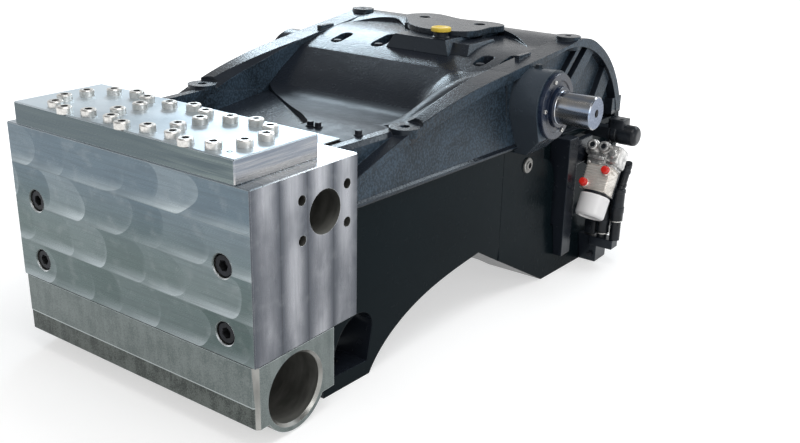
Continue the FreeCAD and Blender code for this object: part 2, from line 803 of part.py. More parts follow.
def make_bearing_boss():
    body = boss_shape(boss_base_x, boss_face_x)
    bore = rod_x(shaft_start_x - seat_gap, boss_face_x + 1, shaft_y, shaft_z,
                 shaft_r + running_gap)
    return body.cut(bore)


def make_left_bearing_boss():
    return mirrored(boss_shape(boss_base_x, boss_face_x))


def make_seal_ring():
    ring = rod_x(boss_face_x, boss_face_x + seal_t, shaft_y, shaft_z, seal_r)
    return ring.cut(rod_x(boss_face_x - 1, boss_face_x + seal_t + 1, shaft_y, shaft_z,
                          collar_r + running_gap))


def make_left_bearing_cover():
    return mirrored(rod_x(boss_face_x, boss_face_x + seal_t, shaft_y, shaft_z, seal_r))


def make_seal_screws():
    """Screws of the seal ring on the right and of the blind cover on the left."""
    heads = []
    for degrees in seal_screw_turns:
        turn = math.radians(degrees)
        seat = V(boss_face_x + seal_t, shaft_y + seal_screw_ring_r * math.cos(turn),
                 shaft_z + seal_screw_ring_r * math.sin(turn))
        head = hexagon(seat, V(1, 0, 0), 2 * seal_screw_r, seal_screw_h)
        heads += [head, mirrored(head)]
    return Part.makeCompound(heads)


def make_input_shaft():
    shaft = rod_x(shaft_start_x, shaft_end_x, shaft_y, shaft_z, shaft_r)
    tip = [e for e in shaft.Edges if abs(e.CenterOfMass.x - shaft_end_x) < 0.1]
    shaft = shaft.makeChamfer(shaft_chamfer, tip)
    shaft = shaft.fuse(rod_x(boss_face_x + seat_gap, collar_end_x, shaft_y, shaft_z, collar_r))
    hole = rod_x(shaft_end_x - centre_hole_depth, shaft_end_x + 1, shaft_y, shaft_z, centre_hole_r)
    return shaft.removeSplitter().cut(hole)


def frustum(base, z0, top, z1):
    """A block with sloping sides. Its outlines are (x0, x1, y0, y1) at z0 and z1."""
    rings = []
    for (x0, x1, y0, y1), z in ((base, z0), (top, z1)):
        ring = [V(x0, y0, z), V(x1, y0, z), V(x1, y1, z), V(x0, y1, z)]
        rings.append(Part.makePolygon(ring + ring[:1]))
    return Part.makeLoft(rings, True, True)


def make_inspection_cover(gear_top):
    """A raised cover with sloping sides, stepped down at its right end."""
    z0, z1 = cover_block_low, cover_block_z
    block = frustum(cover_base, z0, cover_top, z1)
    block = block.fuse(frustum(cover_side_base, z0, cover_side_top, z1 - cover_step_drop))
    block = block.cut(gear_top)
    return max(block.Solids, key=lambda piece: piece.BoundBox.ZMax)


def make_breather_neck():
    return rod_z(breather_x, breather_y, cover_block_z, cover_block_z + breather_neck_h,
                 breather_neck_r)


def make_breather_cap():
    z = cover_block_z + breather_neck_h
    cap = rod_z(breather_x, breather_y, z, z + breather_cap_h, breather_cap_r)
    top = [e for e in cap.Edges if abs(e.CenterOfMass.z - z - breather_cap_h) < 0.1]
    return cap.makeChamfer(breather_cap_bevel, top)


def make_lifting_flange(gear_top, inspection_cover):
    """A plate with a wavy outline that carries the two lifting holes."""
    z0 = flange_z - flange_t
    curve = Part.BSplineCurve()
    curve.interpolate([V(x, y, z0) for x, y in flange_outline], PeriodicFlag=True)
    plate = Part.Face(Part.Wire(curve.toShape())).extrude(V(0, 0, flange_t))
    y0, y1 = flange_foot_y
    for s in (-1, 1):
        x = s * flange_hole_x
        foot = box(x - flange_foot_w / 2, x + flange_foot_w / 2, y0, y1, flange_foot_z, z0 + 1)
        foot = foot.cut(rod_z(x, flange_hole_y, flange_foot_z - 1, z0, flange_hole_r + flange_foot_room))
        plate = plate.fuse(foot)
    for s in (-1, 1):
        plate = plate.cut(rod_z(s * flange_hole_x, flange_hole_y, flange_foot_z - 1, flange_z + 5,
                                flange_hole_r))
    return plate.removeSplitter().cut(gear_top).cut(inspection_cover)


def make_deck_bolts():
    heads = [hexagon(V(x, y, hood_deck_z), V(0, 0, 1), deck_bolt_flats, deck_bolt_h)
             for x, y in zip(deck_bolt_x, deck_bolt_y)]
    return Part.makeCompound(heads)


def make_wall_bolt(gear_housing):
    x = wall_x(wall_bolt_y) - wall_in
    washer = rod_x(x - washer_t, x + washer_t, wall_bolt_y, wall_bolt_z, washer_r).cut(gear_housing)
    seat = V(x + washer_t, wall_bolt_y, wall_bolt_z)
    return washer.fuse(hexagon(seat, V(1, 0, 0), wall_bolt_flats, wall_bolt_h))


def leaning(shape):
    """Put a piece drawn along x, depth and height at the oil unit's place and lean."""
    shape.translate(V(0, unit_y, unit_z))
    shape.rotate(V(0, unit_y, unit_z), V(1, 0, 0), -unit_lean)
    return shape


def make_unit_bracket(gear_housing):
    """Post on the wall with a leaning plate that carries the oil unit."""
    y0, y1 = post_y
    x0 = wall_x(y0)
    post = box(x0 - recess_depth, x0 + post_out, y0, y1, post_z[0], post_z[1])
    a, b = unit_plate_x
    plate = leaning(box(a, b, cooler_depth, cooler_depth + unit_plate_t, -cooler_h, pump_gap + pump_h))
    c, d = unit_link_x
    link = leaning(box(c, d, cooler_depth, cooler_depth + unit_plate_t, *unit_link_h))
    low, high = unit_arm_z
    arm = box(x0 + piece_gap, pump_body_x[0] - piece_gap, y1 - 1, unit_y + unit_arm_reach, low, high)
    return post.fuse(arm).fuse(link).fuse(plate).cut(gear_housing).removeSplitter()


def make_oil_pump():
    """Cast pump body with two port sockets and a rounded motor end."""
    x0, x1 = pump_body_x
    z0 = pump_gap
    z1 = pump_gap + pump_h
    r = pump_lug_r
    body = box(x0 + r, x1, pump_face, pump_depth, z0, z1 - pump_drop)
    body = body.fuse(rod_y(x0 + r, pump_face + 2, pump_depth, z0 + pump_lug_rise, r))
    a, b = pump_box_x
    end = box(a, b, 0.0, pump_depth, z0, z1)
    end = end.makeChamfer(pump_bevel, [e for e in end.Edges if e.BoundBox.YLength > 1])
    body = body.fuse(end)
    for x, z in port_spots:
        body = body.fuse(rod_y(x, -port_socket_l, pump_face + 2, z, port_socket_r))
    for x, z in port_spots:
        body = body.cut(rod_y(x, -port_socket_l - 1, 2 * pump_face, z, port_bore_r))
    body = body.fuse(box(x0 + 2 * r, x1 - r, pump_face, pump_depth, 0, z0))
    body = body.common(box(x0, b, -2 * port_socket_l, cooler_depth, 0, 2 * z1))
    return leaning(body.removeSplitter())


def make_oil_cooler():
    """A brazed stack of plates: a box with rounded corners."""
    x0, x1 = cooler_x
    body = box(x0, x1, 0, cooler_depth, -cooler_h, 0)
    body = body.makeFillet(cooler_corner, [e for e in body.Edges if e.BoundBox.ZLength > 1])
    return leaning(body)


def make_cooler_caps():
    caps = [leaning(rod_y(x, -cap_l, 0.0, z, cap_r)) for x, z in cap_spots]
    return Part.makeCompound(caps)


def make_oil_filter():
    """Round filter can on a short neck under the cooler."""
    z1 = -cooler_h - filter_neck_h
    can = rod_z(filter_x, cooler_depth / 2, z1 - filter_h, z1, filter_r)
    ends = [e for e in can.Edges if len(e.Vertexes) == 1]
    can = can.makeChamfer(filter_bevel, ends)
    neck = rod_z(filter_x, cooler_depth / 2, z1 - 1, -cooler_h, filter_neck_r)
    return leaning(can.fuse(neck).removeSplitter())


def make_unit_foot(gear_housing):
    """Bracket on the floor beside the rear foot, with a shelf for the two canisters."""
    y0, y1 = foot_y
    foot = box(wall_x(y0), foot_x, y0, y1, 0, foot_h)
    slope = Part.makePolygon([V(foot_x, 0, foot_h - foot_slope * 1.5), V(foot_x - foot_slope / 2, 0, foot_h),
                              V(foot_x, 0, foot_h), V(foot_x, 0, foot_h - foot_slope * 1.5)])
    foot = foot.cut(Part.Face(slope).extrude(V(0, can_y - near_can[1], 0)))
    foot = foot.fuse(box(foot_x - foot_slope, shelf_x, shelf_y[0], shelf_y[1], shelf_low, foot_h))
    return foot.removeSplitter().cut(gear_housing)


def canister(x, r, z0, z1):
    """Upright can on a stem."""
    return rod_z(x, can_y, z0, z1, r).fuse(rod_z(x, can_y, foot_h, z0, can_stem_r)).removeSplitter()


def make_filter_housing():
    """Two upright black canisters behind the oil unit, the far one with a leaning tube."""
    near = canister(*near_can)
    x, r, z0, z1 = far_can
    far = canister(x, r, z0, z1)
    lean = math.radians(unit_lean)
    along = V(0, math.sin(lean), math.cos(lean))
    tube = Part.makeCylinder(tube_r, tube_l, V(x, can_y, z1 - tube_sink), along)
    return Part.makeCompound([near, far.fuse(tube).removeSplitter()])


def make_rear_valve(gear_housing):
    """Small black cylinder with a bevelled end on a block, held by an arm in the hollow."""
    x0, x1 = valve_x
    body = rod_x(x0, x1, valve_y, valve_z, valve_r)
    body = body.makeChamfer(valve_bevel, [e for e in body.Edges if abs(e.CenterOfMass.x - x1) < 0.1])
    a, b = valve_block_x
    y0, y1 = valve_block_y
    body = body.fuse(box(a, b, y0, y1, valve_z, valve_z + valve_block_h))
    root = wall_x(y0) - recess_depth
    half_y, half_z = valve_arm_w / 2, valve_arm_h / 2
    arm = box(root, x0 + 8, valve_y - half_y, valve_y + half_y, valve_z - half_z, valve_z + half_z)
    return body.fuse(arm).removeSplitter().cut(gear_housing)


crankcase = make_crankcase()
gear_housing = make_gear_housing()
gear_top = make_gear_top().cut(gear_housing)
inspection_cover = make_inspection_cover(gear_top)
parts = {
    "valve_block": make_valve_block(),
    "front_screws": make_front_screws(),
    "cover_plate": make_cover_plate(),
    "cover_screws": make_cover_screws(),
    "suction_manifold": make_suction_manifold(),
    "tie_plate": make_tie_plate(),
    "crankcase": crankcase,
    "hood": make_hood(crankcase),
    "gear_housing": gear_housing,
    "gear_top": gear_top,
    "split_bolts": make_split_bolts(),
    "bearing_boss": make_bearing_boss(),
    "seal_ring": make_seal_ring(),
    "seal_screws": make_seal_screws(),
    "input_shaft": make_input_shaft(),
    "left_bearing_boss": make_left_bearing_boss(),
    "left_bearing_cover": make_left_bearing_cover(),
    "inspection_cover": inspection_cover,
    "breather_neck": make_breather_neck(),
    "breather_cap": make_breather_cap(),
    "lifting_flange": make_lifting_flange(gear_top, inspection_cover),
    "deck_bolts": make_deck_bolts(),
    "wall_bolt": make_wall_bolt(gear_housing),
    "unit_bracket": make_unit_bracket(gear_housing),
    "oil_pump": make_oil_pump(),
    "oil_cooler": make_oil_cooler(),
    "cooler_caps": make_cooler_caps(),
    "oil_filter": make_oil_filter(),
    "unit_foot": make_unit_foot(gear_housing),
    "filter_housing": make_filter_housing(),
    "rear_valve": make_rear_valve(gear_housing),
}

# The origin goes to the middle of the floor space.
x_low = -(boss_face_x + seal_t + seal_screw_h)
place = V(-(x_low + shaft_end_x) / 2, -(drum_y + drum_r) / 2, 0)

os.makedirs("parts", exist_ok=True)
for name, shape in parts.items():
    shape.translate(place)
    shape.exportStep("parts/" + name + ".step")
    print(name, shape.isValid(), len(shape.Solids), round(shape.Volume / 1e6, 3))
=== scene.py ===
"""Looks of a plunger pump with a built-in gearbox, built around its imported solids."""

import json
import logging
import math
from dataclasses import dataclass, replace
from enum import Enum
from itertools import pairwise
from typing import Callable, Sequence

import bpy
import bmesh
from mathutils import Matrix, Vector

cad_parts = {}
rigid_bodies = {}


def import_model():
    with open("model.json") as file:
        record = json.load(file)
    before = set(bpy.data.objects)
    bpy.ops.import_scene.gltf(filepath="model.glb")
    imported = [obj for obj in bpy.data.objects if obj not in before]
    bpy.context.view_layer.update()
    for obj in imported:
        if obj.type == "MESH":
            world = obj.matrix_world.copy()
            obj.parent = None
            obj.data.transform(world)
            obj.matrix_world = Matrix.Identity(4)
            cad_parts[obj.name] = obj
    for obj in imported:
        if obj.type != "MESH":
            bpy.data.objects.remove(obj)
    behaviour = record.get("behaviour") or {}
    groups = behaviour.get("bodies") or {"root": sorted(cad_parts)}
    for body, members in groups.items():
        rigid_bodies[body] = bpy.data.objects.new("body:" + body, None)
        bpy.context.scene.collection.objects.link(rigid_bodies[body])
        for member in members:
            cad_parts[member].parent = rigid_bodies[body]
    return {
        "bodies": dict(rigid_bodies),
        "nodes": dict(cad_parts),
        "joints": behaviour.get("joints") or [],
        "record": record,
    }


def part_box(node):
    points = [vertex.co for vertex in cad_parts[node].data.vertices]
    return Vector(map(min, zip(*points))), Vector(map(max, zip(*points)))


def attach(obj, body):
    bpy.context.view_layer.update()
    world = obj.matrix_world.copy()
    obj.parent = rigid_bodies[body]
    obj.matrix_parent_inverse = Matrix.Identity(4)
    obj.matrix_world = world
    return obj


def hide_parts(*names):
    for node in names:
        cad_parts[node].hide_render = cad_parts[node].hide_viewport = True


log = logging.getLogger("pump")

Colour = tuple[float, float, float]
Place = tuple[float, float, float]
Profile = Sequence[tuple[float, float]]
Block = tuple[Place, Place, float]
Socket = bpy.types.NodeSocket
Work = bmesh.types.BMesh

MM = 0.001
MERGE = 0.00001
SAME = 0.000001
TINY = 0.001
CREASE = 32.0
STEEP = 0.7
SOFT = (0.3, 0.7)
CRISP = (0.35, 0.65)
WHITE = (1.0, 1.0, 1.0)


def by_node(operation: str, swapped: bool = False) -> Callable[..., "Value"]:
    """Return a method that puts a value and another one through a Math node.

    Args:
        operation: Blender's name of the operation.
        swapped: Whether the other value comes first.

    Returns:
        The method.
    """

    def method(value: "Value", other: object = 0.0) -> "Value":
        """Return the result."""
        return value.graph.math(operation, *((other, value) if swapped else (value, other)))

    return method


class Value:
    """A node's output that can be calculated with."""

    __add__ = __radd__ = by_node("ADD")
    __sub__, __rsub__ = by_node("SUBTRACT"), by_node("SUBTRACT", True)
    __mul__ = __rmul__ = by_node("MULTIPLY")
    __truediv__, __rtruediv__ = by_node("DIVIDE"), by_node("DIVIDE", True)
    __mod__, __pow__ = by_node("FLOORED_MODULO"), by_node("POWER")
    __gt__, __lt__ = by_node("GREATER_THAN"), by_node("LESS_THAN")
    __abs__, __floor__ = by_node("ABSOLUTE"), by_node("FLOOR")

    def __init__(self, graph: "Graph", socket: Socket) -> None:
        """Take an output socket of a node tree.

        Args:
            graph: The node tree.
            socket: The output.
        """
        self.graph = graph
        self.socket = socket


class Graph:
    """A node tree, with short calls to add, set and join nodes."""

    def __init__(self, tree: bpy.types.NodeTree) -> None:
        """Work on the given tree."""
        self.tree = tree

    def add(self, kind: str, **setup: object) -> bpy.types.Node:
        """Return a new node.

        Args:
            kind: Blender's name of the node.
            setup: The node's own settings.

        Returns:
            The node.
        """
        node = self.tree.nodes.new(kind)
        for name, value in setup.items():
            setattr(node, name, value)
        return node

    def put(self, socket: Socket, value: object) -> None:
        """Set an input, or link it to an output.

        Args:
            socket: The input.
            value: A constant, a value or an output socket.
        """
        if isinstance(value, Value):
            value = value.socket
        if isinstance(value, Socket):
            self.tree.links.new(value, socket)
        elif isinstance(value, tuple) and len(value) == 3 and socket.type == "RGBA":
            socket.default_value = (*value, 1.0)
        else:
            socket.default_value = value

    def feed(self, node: bpy.types.Node, **inputs: object) -> bpy.types.Node:
        """Set or link inputs of a node.

        Args:
            node: The node.
            inputs: What goes into each input; an underscore stands for a space.

        Returns:
            The node.
        """
        for name, value in inputs.items():
            title = name.replace("_", " ")
            self.put(next(s for s in node.inputs if s.name == title and s.enabled), value)
        return node

    def node(self, kind: str, *values: object, out: str = "",
             setup: dict[str, object] | None = None, **inputs: object) -> Value:
        """Return an output of a new node.

        Args:
            kind: Blender's name of the node.
            values: What goes into its first inputs.
            out: Name of the output; the first one in use if empty.
            setup: The node's own settings.
            inputs: What goes into named inputs; an underscore stands for a space.

        Returns:
            The output.
        """
        node = self.add(kind, **(setup or {}))
        for socket, value in zip(node.inputs, values):
            self.put(socket, value)
        self.feed(node, **inputs)
        if out:
            return Value(self, node.outputs[out])
        return Value(self, next(s for s in node.outputs if s.enabled))

    def math(self, operation: str, *values: object, clamp: bool = False) -> Value:
        """Return the result of a Math node.

        Args:
            operation: Blender's name of the operation.
            values: One or two numbers or values.
            clamp: Whether the result is kept between 0 and 1.

        Returns:
            The result.
        """
        setup = {"operation": operation, "use_clamp": clamp}
        return self.node("ShaderNodeMath", *values, setup=setup)

    def split(self, vector: object) -> tuple[Value, ...]:
        """Return the x, y and z of a vector."""
        parts = self.feed(self.add("ShaderNodeSeparateXYZ"), Vector=vector).outputs
        return tuple(Value(self, part) for part in parts)

    def seen_directly(self) -> Value:
        """Return 1 for camera, glossy and transmission rays, and 0 for the others.

        Returns:
            The factor.
        """
        path = self.add("ShaderNodeLightPath").outputs
        seen = self.math("MAXIMUM", path["Is Camera Ray"], path["Is Glossy Ray"])
        return self.math("MAXIMUM", seen, path["Is Transmission Ray"])


class Shader(Graph):
    """A material's node tree. Colours and patterns follow the object's own coordinates."""

    WEAR_GLINT_SAMPLES = 8
    EDGE_SAMPLES = 6
    WORN_FROM, WORN_TO = 0.98, 0.8

    def __init__(self, name: str) -> None:
        """Start a material.

        Args:
            name: The material's name.
        """
        self.material = bpy.data.materials.new(name)
        self.material.use_nodes = True
        super().__init__(self.material.node_tree)
        self.tree.nodes.clear()
        self.surface = self.add("ShaderNodeBsdfPrincipled")
        self.feed(self.add("ShaderNodeOutputMaterial"), Surface=self.surface.outputs[0])
        self.place = self.node("ShaderNodeTexCoord", out="Object")

    def set(self, **values: object) -> None:
        """Set or link inputs of the main shader; an underscore stands for a space."""
        self.feed(self.surface, **values)

    def facing(self) -> tuple[Value, ...]:
        """Return the x, y and z of the surface normal."""
        return self.split(self.node("ShaderNodeNewGeometry", out="True Normal"))

    def noise(self, scale: float, detail: float = 3.0, stretch: Place | None = None) -> Value:
        """Return a noise texture's value between 0 and 1.

        Args:
            scale: Cells per metre.
            detail: The number of finer layers.
            stretch: Scale of the surface point along x, y and z; even if None.

        Returns:
            The value.
        """
        place = self.place
        if stretch:
            place = self.node("ShaderNodeMapping", Vector=place, Scale=stretch)
        return self.node("ShaderNodeTexNoise", Vector=place, Scale=scale, Detail=detail)

    def span(self, value: Value, low: float, high: float, to_low: float = 0.0,
             to_high: float = 1.0) -> Value:
        """Return a value mapped smoothly to another range, and kept inside it.

        Args:
            value: The value.
            low: Start of its range.
            high: End of its range.
            to_low: Result at low.
            to_high: Result at high.

        Returns:
            The result.
        """
        setup = {"interpolation_type": "SMOOTHSTEP"}
        return self.node("ShaderNodeMapRange", value, low, high, to_low, to_high, setup=setup)

    def mix(self, factor: object, one: object, two: object) -> Value:
        """Return a mix of two colours.

        Args:
            factor: 0 gives one, 1 gives two.
            one: First colour.
            two: Second colour.

        Returns:
            The colour.
        """
        node = self.add("ShaderNodeMix", data_type="RGBA")
        for key, value in ((0, factor), (6, one), (7, two)):
            self.put(node.inputs[key], value)
        return Value(self, node.outputs[2])

    def wear_glint_mask(self, radius: float) -> Value:
        """Return 1 on edges and 0 on flat faces, for the lighter edge colour: wear and painted
        highlight.

        Args:
            radius: Reach of the lighter edge colour from an edge, in metres.

        Returns:
            The factor.
        """
        soft = self.node("ShaderNodeBevel", setup={"samples": self.WEAR_GLINT_SAMPLES}, Radius=radius)
        flat = self.node("ShaderNodeNewGeometry", out="Normal")
        dot = self.node("ShaderNodeVectorMath", soft, flat, out="Value",
                        setup={"operation": "DOT_PRODUCT"})
        return self.span(dot, self.WORN_FROM, self.WORN_TO)

    def relief(self, height: Value, depth: float, edge: float) -> None:
        """Give the surface a fine relief and slightly rounded edges.

        Args:
            height: A value between 0 and 1.
            depth: The relief's depth in metres.
            edge: Radius of the rounded edges in metres.
        """
        rounded = self.node("ShaderNodeBevel", setup={"samples": self.EDGE_SAMPLES}, Radius=edge)
        self.set(Normal=self.node("ShaderNodeBump", Distance=depth, Height=height, Normal=rounded))


@dataclass(frozen=True)
class CastPaint:
    """Black paint on a cast skin: smooth below the ridge of the side walls, pebbled above it, with
    a painted highlight of lighter flecks on the upper side panels.
    """

    name: str
    colour: Colour = (0.01, 0.0125, 0.0175)
    shade: Colour = (0.015, 0.019, 0.027)
    # wall, wall_dark and wall_lit: painted highlight, the lighter flecked colour of the upper side
    # panels
    wall: Colour = (0.02, 0.032, 0.046)
    wall_dark: float = 0.45
    wall_lit: float = 2.3
    ridge_z: float = 0.404
    blur: float = 0.004
    roughness: float = 0.25
    wall_roughness: float = 0.16
    gloss: float = 0.3
    # tint: painted reflection colour that turns the paint's reflections blue
    tint: Colour = (0.8, 0.92, 1.0)
    ior: float = 1.5
    cloud_scale: float = 9.0
    patch_scale: float = 40.0
    pebble_scale: float = 190.0
    skin_scale: float = 75.0
    skin_part: float = 0.45
    relief: tuple[float, float, float] = (0.35, 0.65, 1.1)
    depth: float = 0.0005
    edge: float = 0.003
    upright: tuple[float, float] = (0.75, 0.9)
    dot: tuple[float, float] = (0.42, 0.62)
    dot_part: float = 0.6
    cloud_part: float = 0.4
    spread: tuple[float, float] = (0.92, 1.1)

    def build(self) -> bpy.types.Material:
        """Build the material.

        Returns:
            The material.
        """
        s = Shader(self.name)
        upper = s.span(s.split(s.place)[2], self.ridge_z - self.blur, self.ridge_z + self.blur)
        panel = upper * s.span(abs(s.facing()[0]), *self.upright)
        cloud = s.mix(s.noise(self.cloud_scale, 2.0), self.colour, self.shade)
        pebble = s.noise(self.pebble_scale, 2.0)
        dots = s.span(pebble, *self.dot) * self.dot_part
        dots = dots + s.span(s.noise(self.cloud_scale), *CRISP) * self.cloud_part
        # painted highlight: the upper side panels get lighter flecks between dark and lit tones of
        # wall
        dark, lit = (tuple(part * c for c in self.wall) for part in (self.wall_dark, self.wall_lit))
        patch = s.span(s.noise(self.patch_scale), *SOFT,
                       *(self.roughness * part for part in self.spread))
        # Specular_Tint gives the paint's reflections a painted blue colour
        s.set(Base_Color=s.mix(panel, cloud, s.mix(dots, dark, lit)), IOR=self.ior,
              Specular_IOR_Level=self.gloss, Specular_Tint=self.tint,
              Roughness=patch + panel * self.wall_roughness)
        low, above, on_panel = self.relief
        grain = pebble + s.noise(self.skin_scale) * self.skin_part
        s.relief(grain * (low + upper * above + panel * on_panel), self.depth, self.edge)
        return s.material


@dataclass(frozen=True)
class PlainSteel:
    """Ground, cast or rough bare metal."""

    name: str
    colour: Colour
    shade: Colour
    roughness: float
    grain: Place = (1.0, 1.0, 1.0)
    grain_scale: float = 200.0
    cloud_scale: float = 14.0
    depth: float = 0.0001
    edge: float = 0.0008
    metal: float = 1.0
    lit: bool = False
    unlit: Colour = (0.1, 0.12, 0.12)
    lit_from: tuple[float, float] = (0.1, 0.5)
    line_part: float = 0.5
    spread: tuple[float, float] = (0.8, 1.25)

    def build(self) -> bpy.types.Material:
        """Build the material; if lit, it has painted shade and is dark where it faces down.

        Returns:
            The material.
        """
        s = Shader(self.name)
        lines = s.noise(self.grain_scale, 3.0, self.grain)
        cloud = s.noise(self.cloud_scale, 4.0)
        grain = lines * self.line_part + cloud * (1.0 - self.line_part)
        colour = s.mix(s.span(grain, *SOFT), self.colour, self.shade)
        # painted shade: the unlit colour where the surface faces down
        if self.lit:
            colour = s.mix(s.span(s.facing()[2], *self.lit_from), self.unlit, colour)
        rough = (self.roughness * part for part in self.spread)
        s.set(Base_Color=colour, Metallic=self.metal, Roughness=s.span(lines, *SOFT, *rough))
        s.relief(lines, self.depth, self.edge)
        return s.material


@dataclass(frozen=True)
class RoughManifold:
    """Sawn stainless steel: mottled, with a darker lower band on the front and a painted highlight
    line along the band's top.
    """

    name: str
    colour: Colour = (0.12, 0.145, 0.142)
    shade: Colour = (0.22, 0.25, 0.245)
    band: Colour = (0.03, 0.035, 0.032)
    band_shade: Colour = (0.13, 0.145, 0.135)
    wear_glint: Colour = (0.6, 0.65, 0.66)
    wear_glint_reach: float = 0.0028
    band_top: float = 0.095
    band_blur: float = 0.003
    band_part: float = 0.85
    lip_highlight: tuple[float, float] = (0.0004, 0.0018)
    speck_scale: float = 420.0
    cloud_scale: float = 26.0
    run_scale: float = 60.0
    run_stretch: Place = (1.0, 1.0, 0.12)
    roughness: tuple[float, float] = (0.36, 0.52)
    metal: float = 0.9
    depth: float = 0.0007
    edge: float = 0.0012
    parts: tuple[float, float, float] = (0.45, 0.3, 0.25)
    faces_front: tuple[float, float] = (0.5, 0.6)
    band_mottle: tuple[float, float] = (0.4, 0.6)
    mottle: tuple[float, float] = (0.38, 0.62)
    lip_part: float = 0.7

    def build(self) -> bpy.types.Material:
        """Build the material.

        Returns:
            The material.
        """
        s = Shader(self.name)
        z = s.split(s.place)[2]
        run = s.noise(self.run_scale, 3.0, self.run_stretch)
        speck, cloud = s.noise(self.speck_scale), s.noise(self.cloud_scale, 5.0)
        mottle = speck * self.parts[0] + cloud * self.parts[1] + run * self.parts[2]
        front = s.span(s.facing()[1] * -1.0, *self.faces_front)
        low = s.span(z, self.band_top - self.band_blur, self.band_top, 1.0, 0.0) * front
        band = s.mix(s.span(mottle, *self.band_mottle), self.band, self.band_shade)
        colour = s.mix(s.span(mottle, *self.mottle), self.colour, self.shade)
        colour = s.mix(low * self.band_part, colour, band)
        # painted highlight: a thin light line along the top of the band
        lip_highlight = s.span(abs(z - self.band_top), *self.lip_highlight, self.lip_part, 0.0)
        colour = s.mix(lip_highlight * front, colour, self.wear_glint)
        # lighter edges: wear and painted highlight
        s.set(Base_Color=s.mix(s.wear_glint_mask(self.wear_glint_reach), colour, self.wear_glint), Metallic=self.metal,
              Roughness=s.span(mottle, *CRISP, *self.roughness))
        s.relief(mottle, self.depth, self.edge)
        return s.material


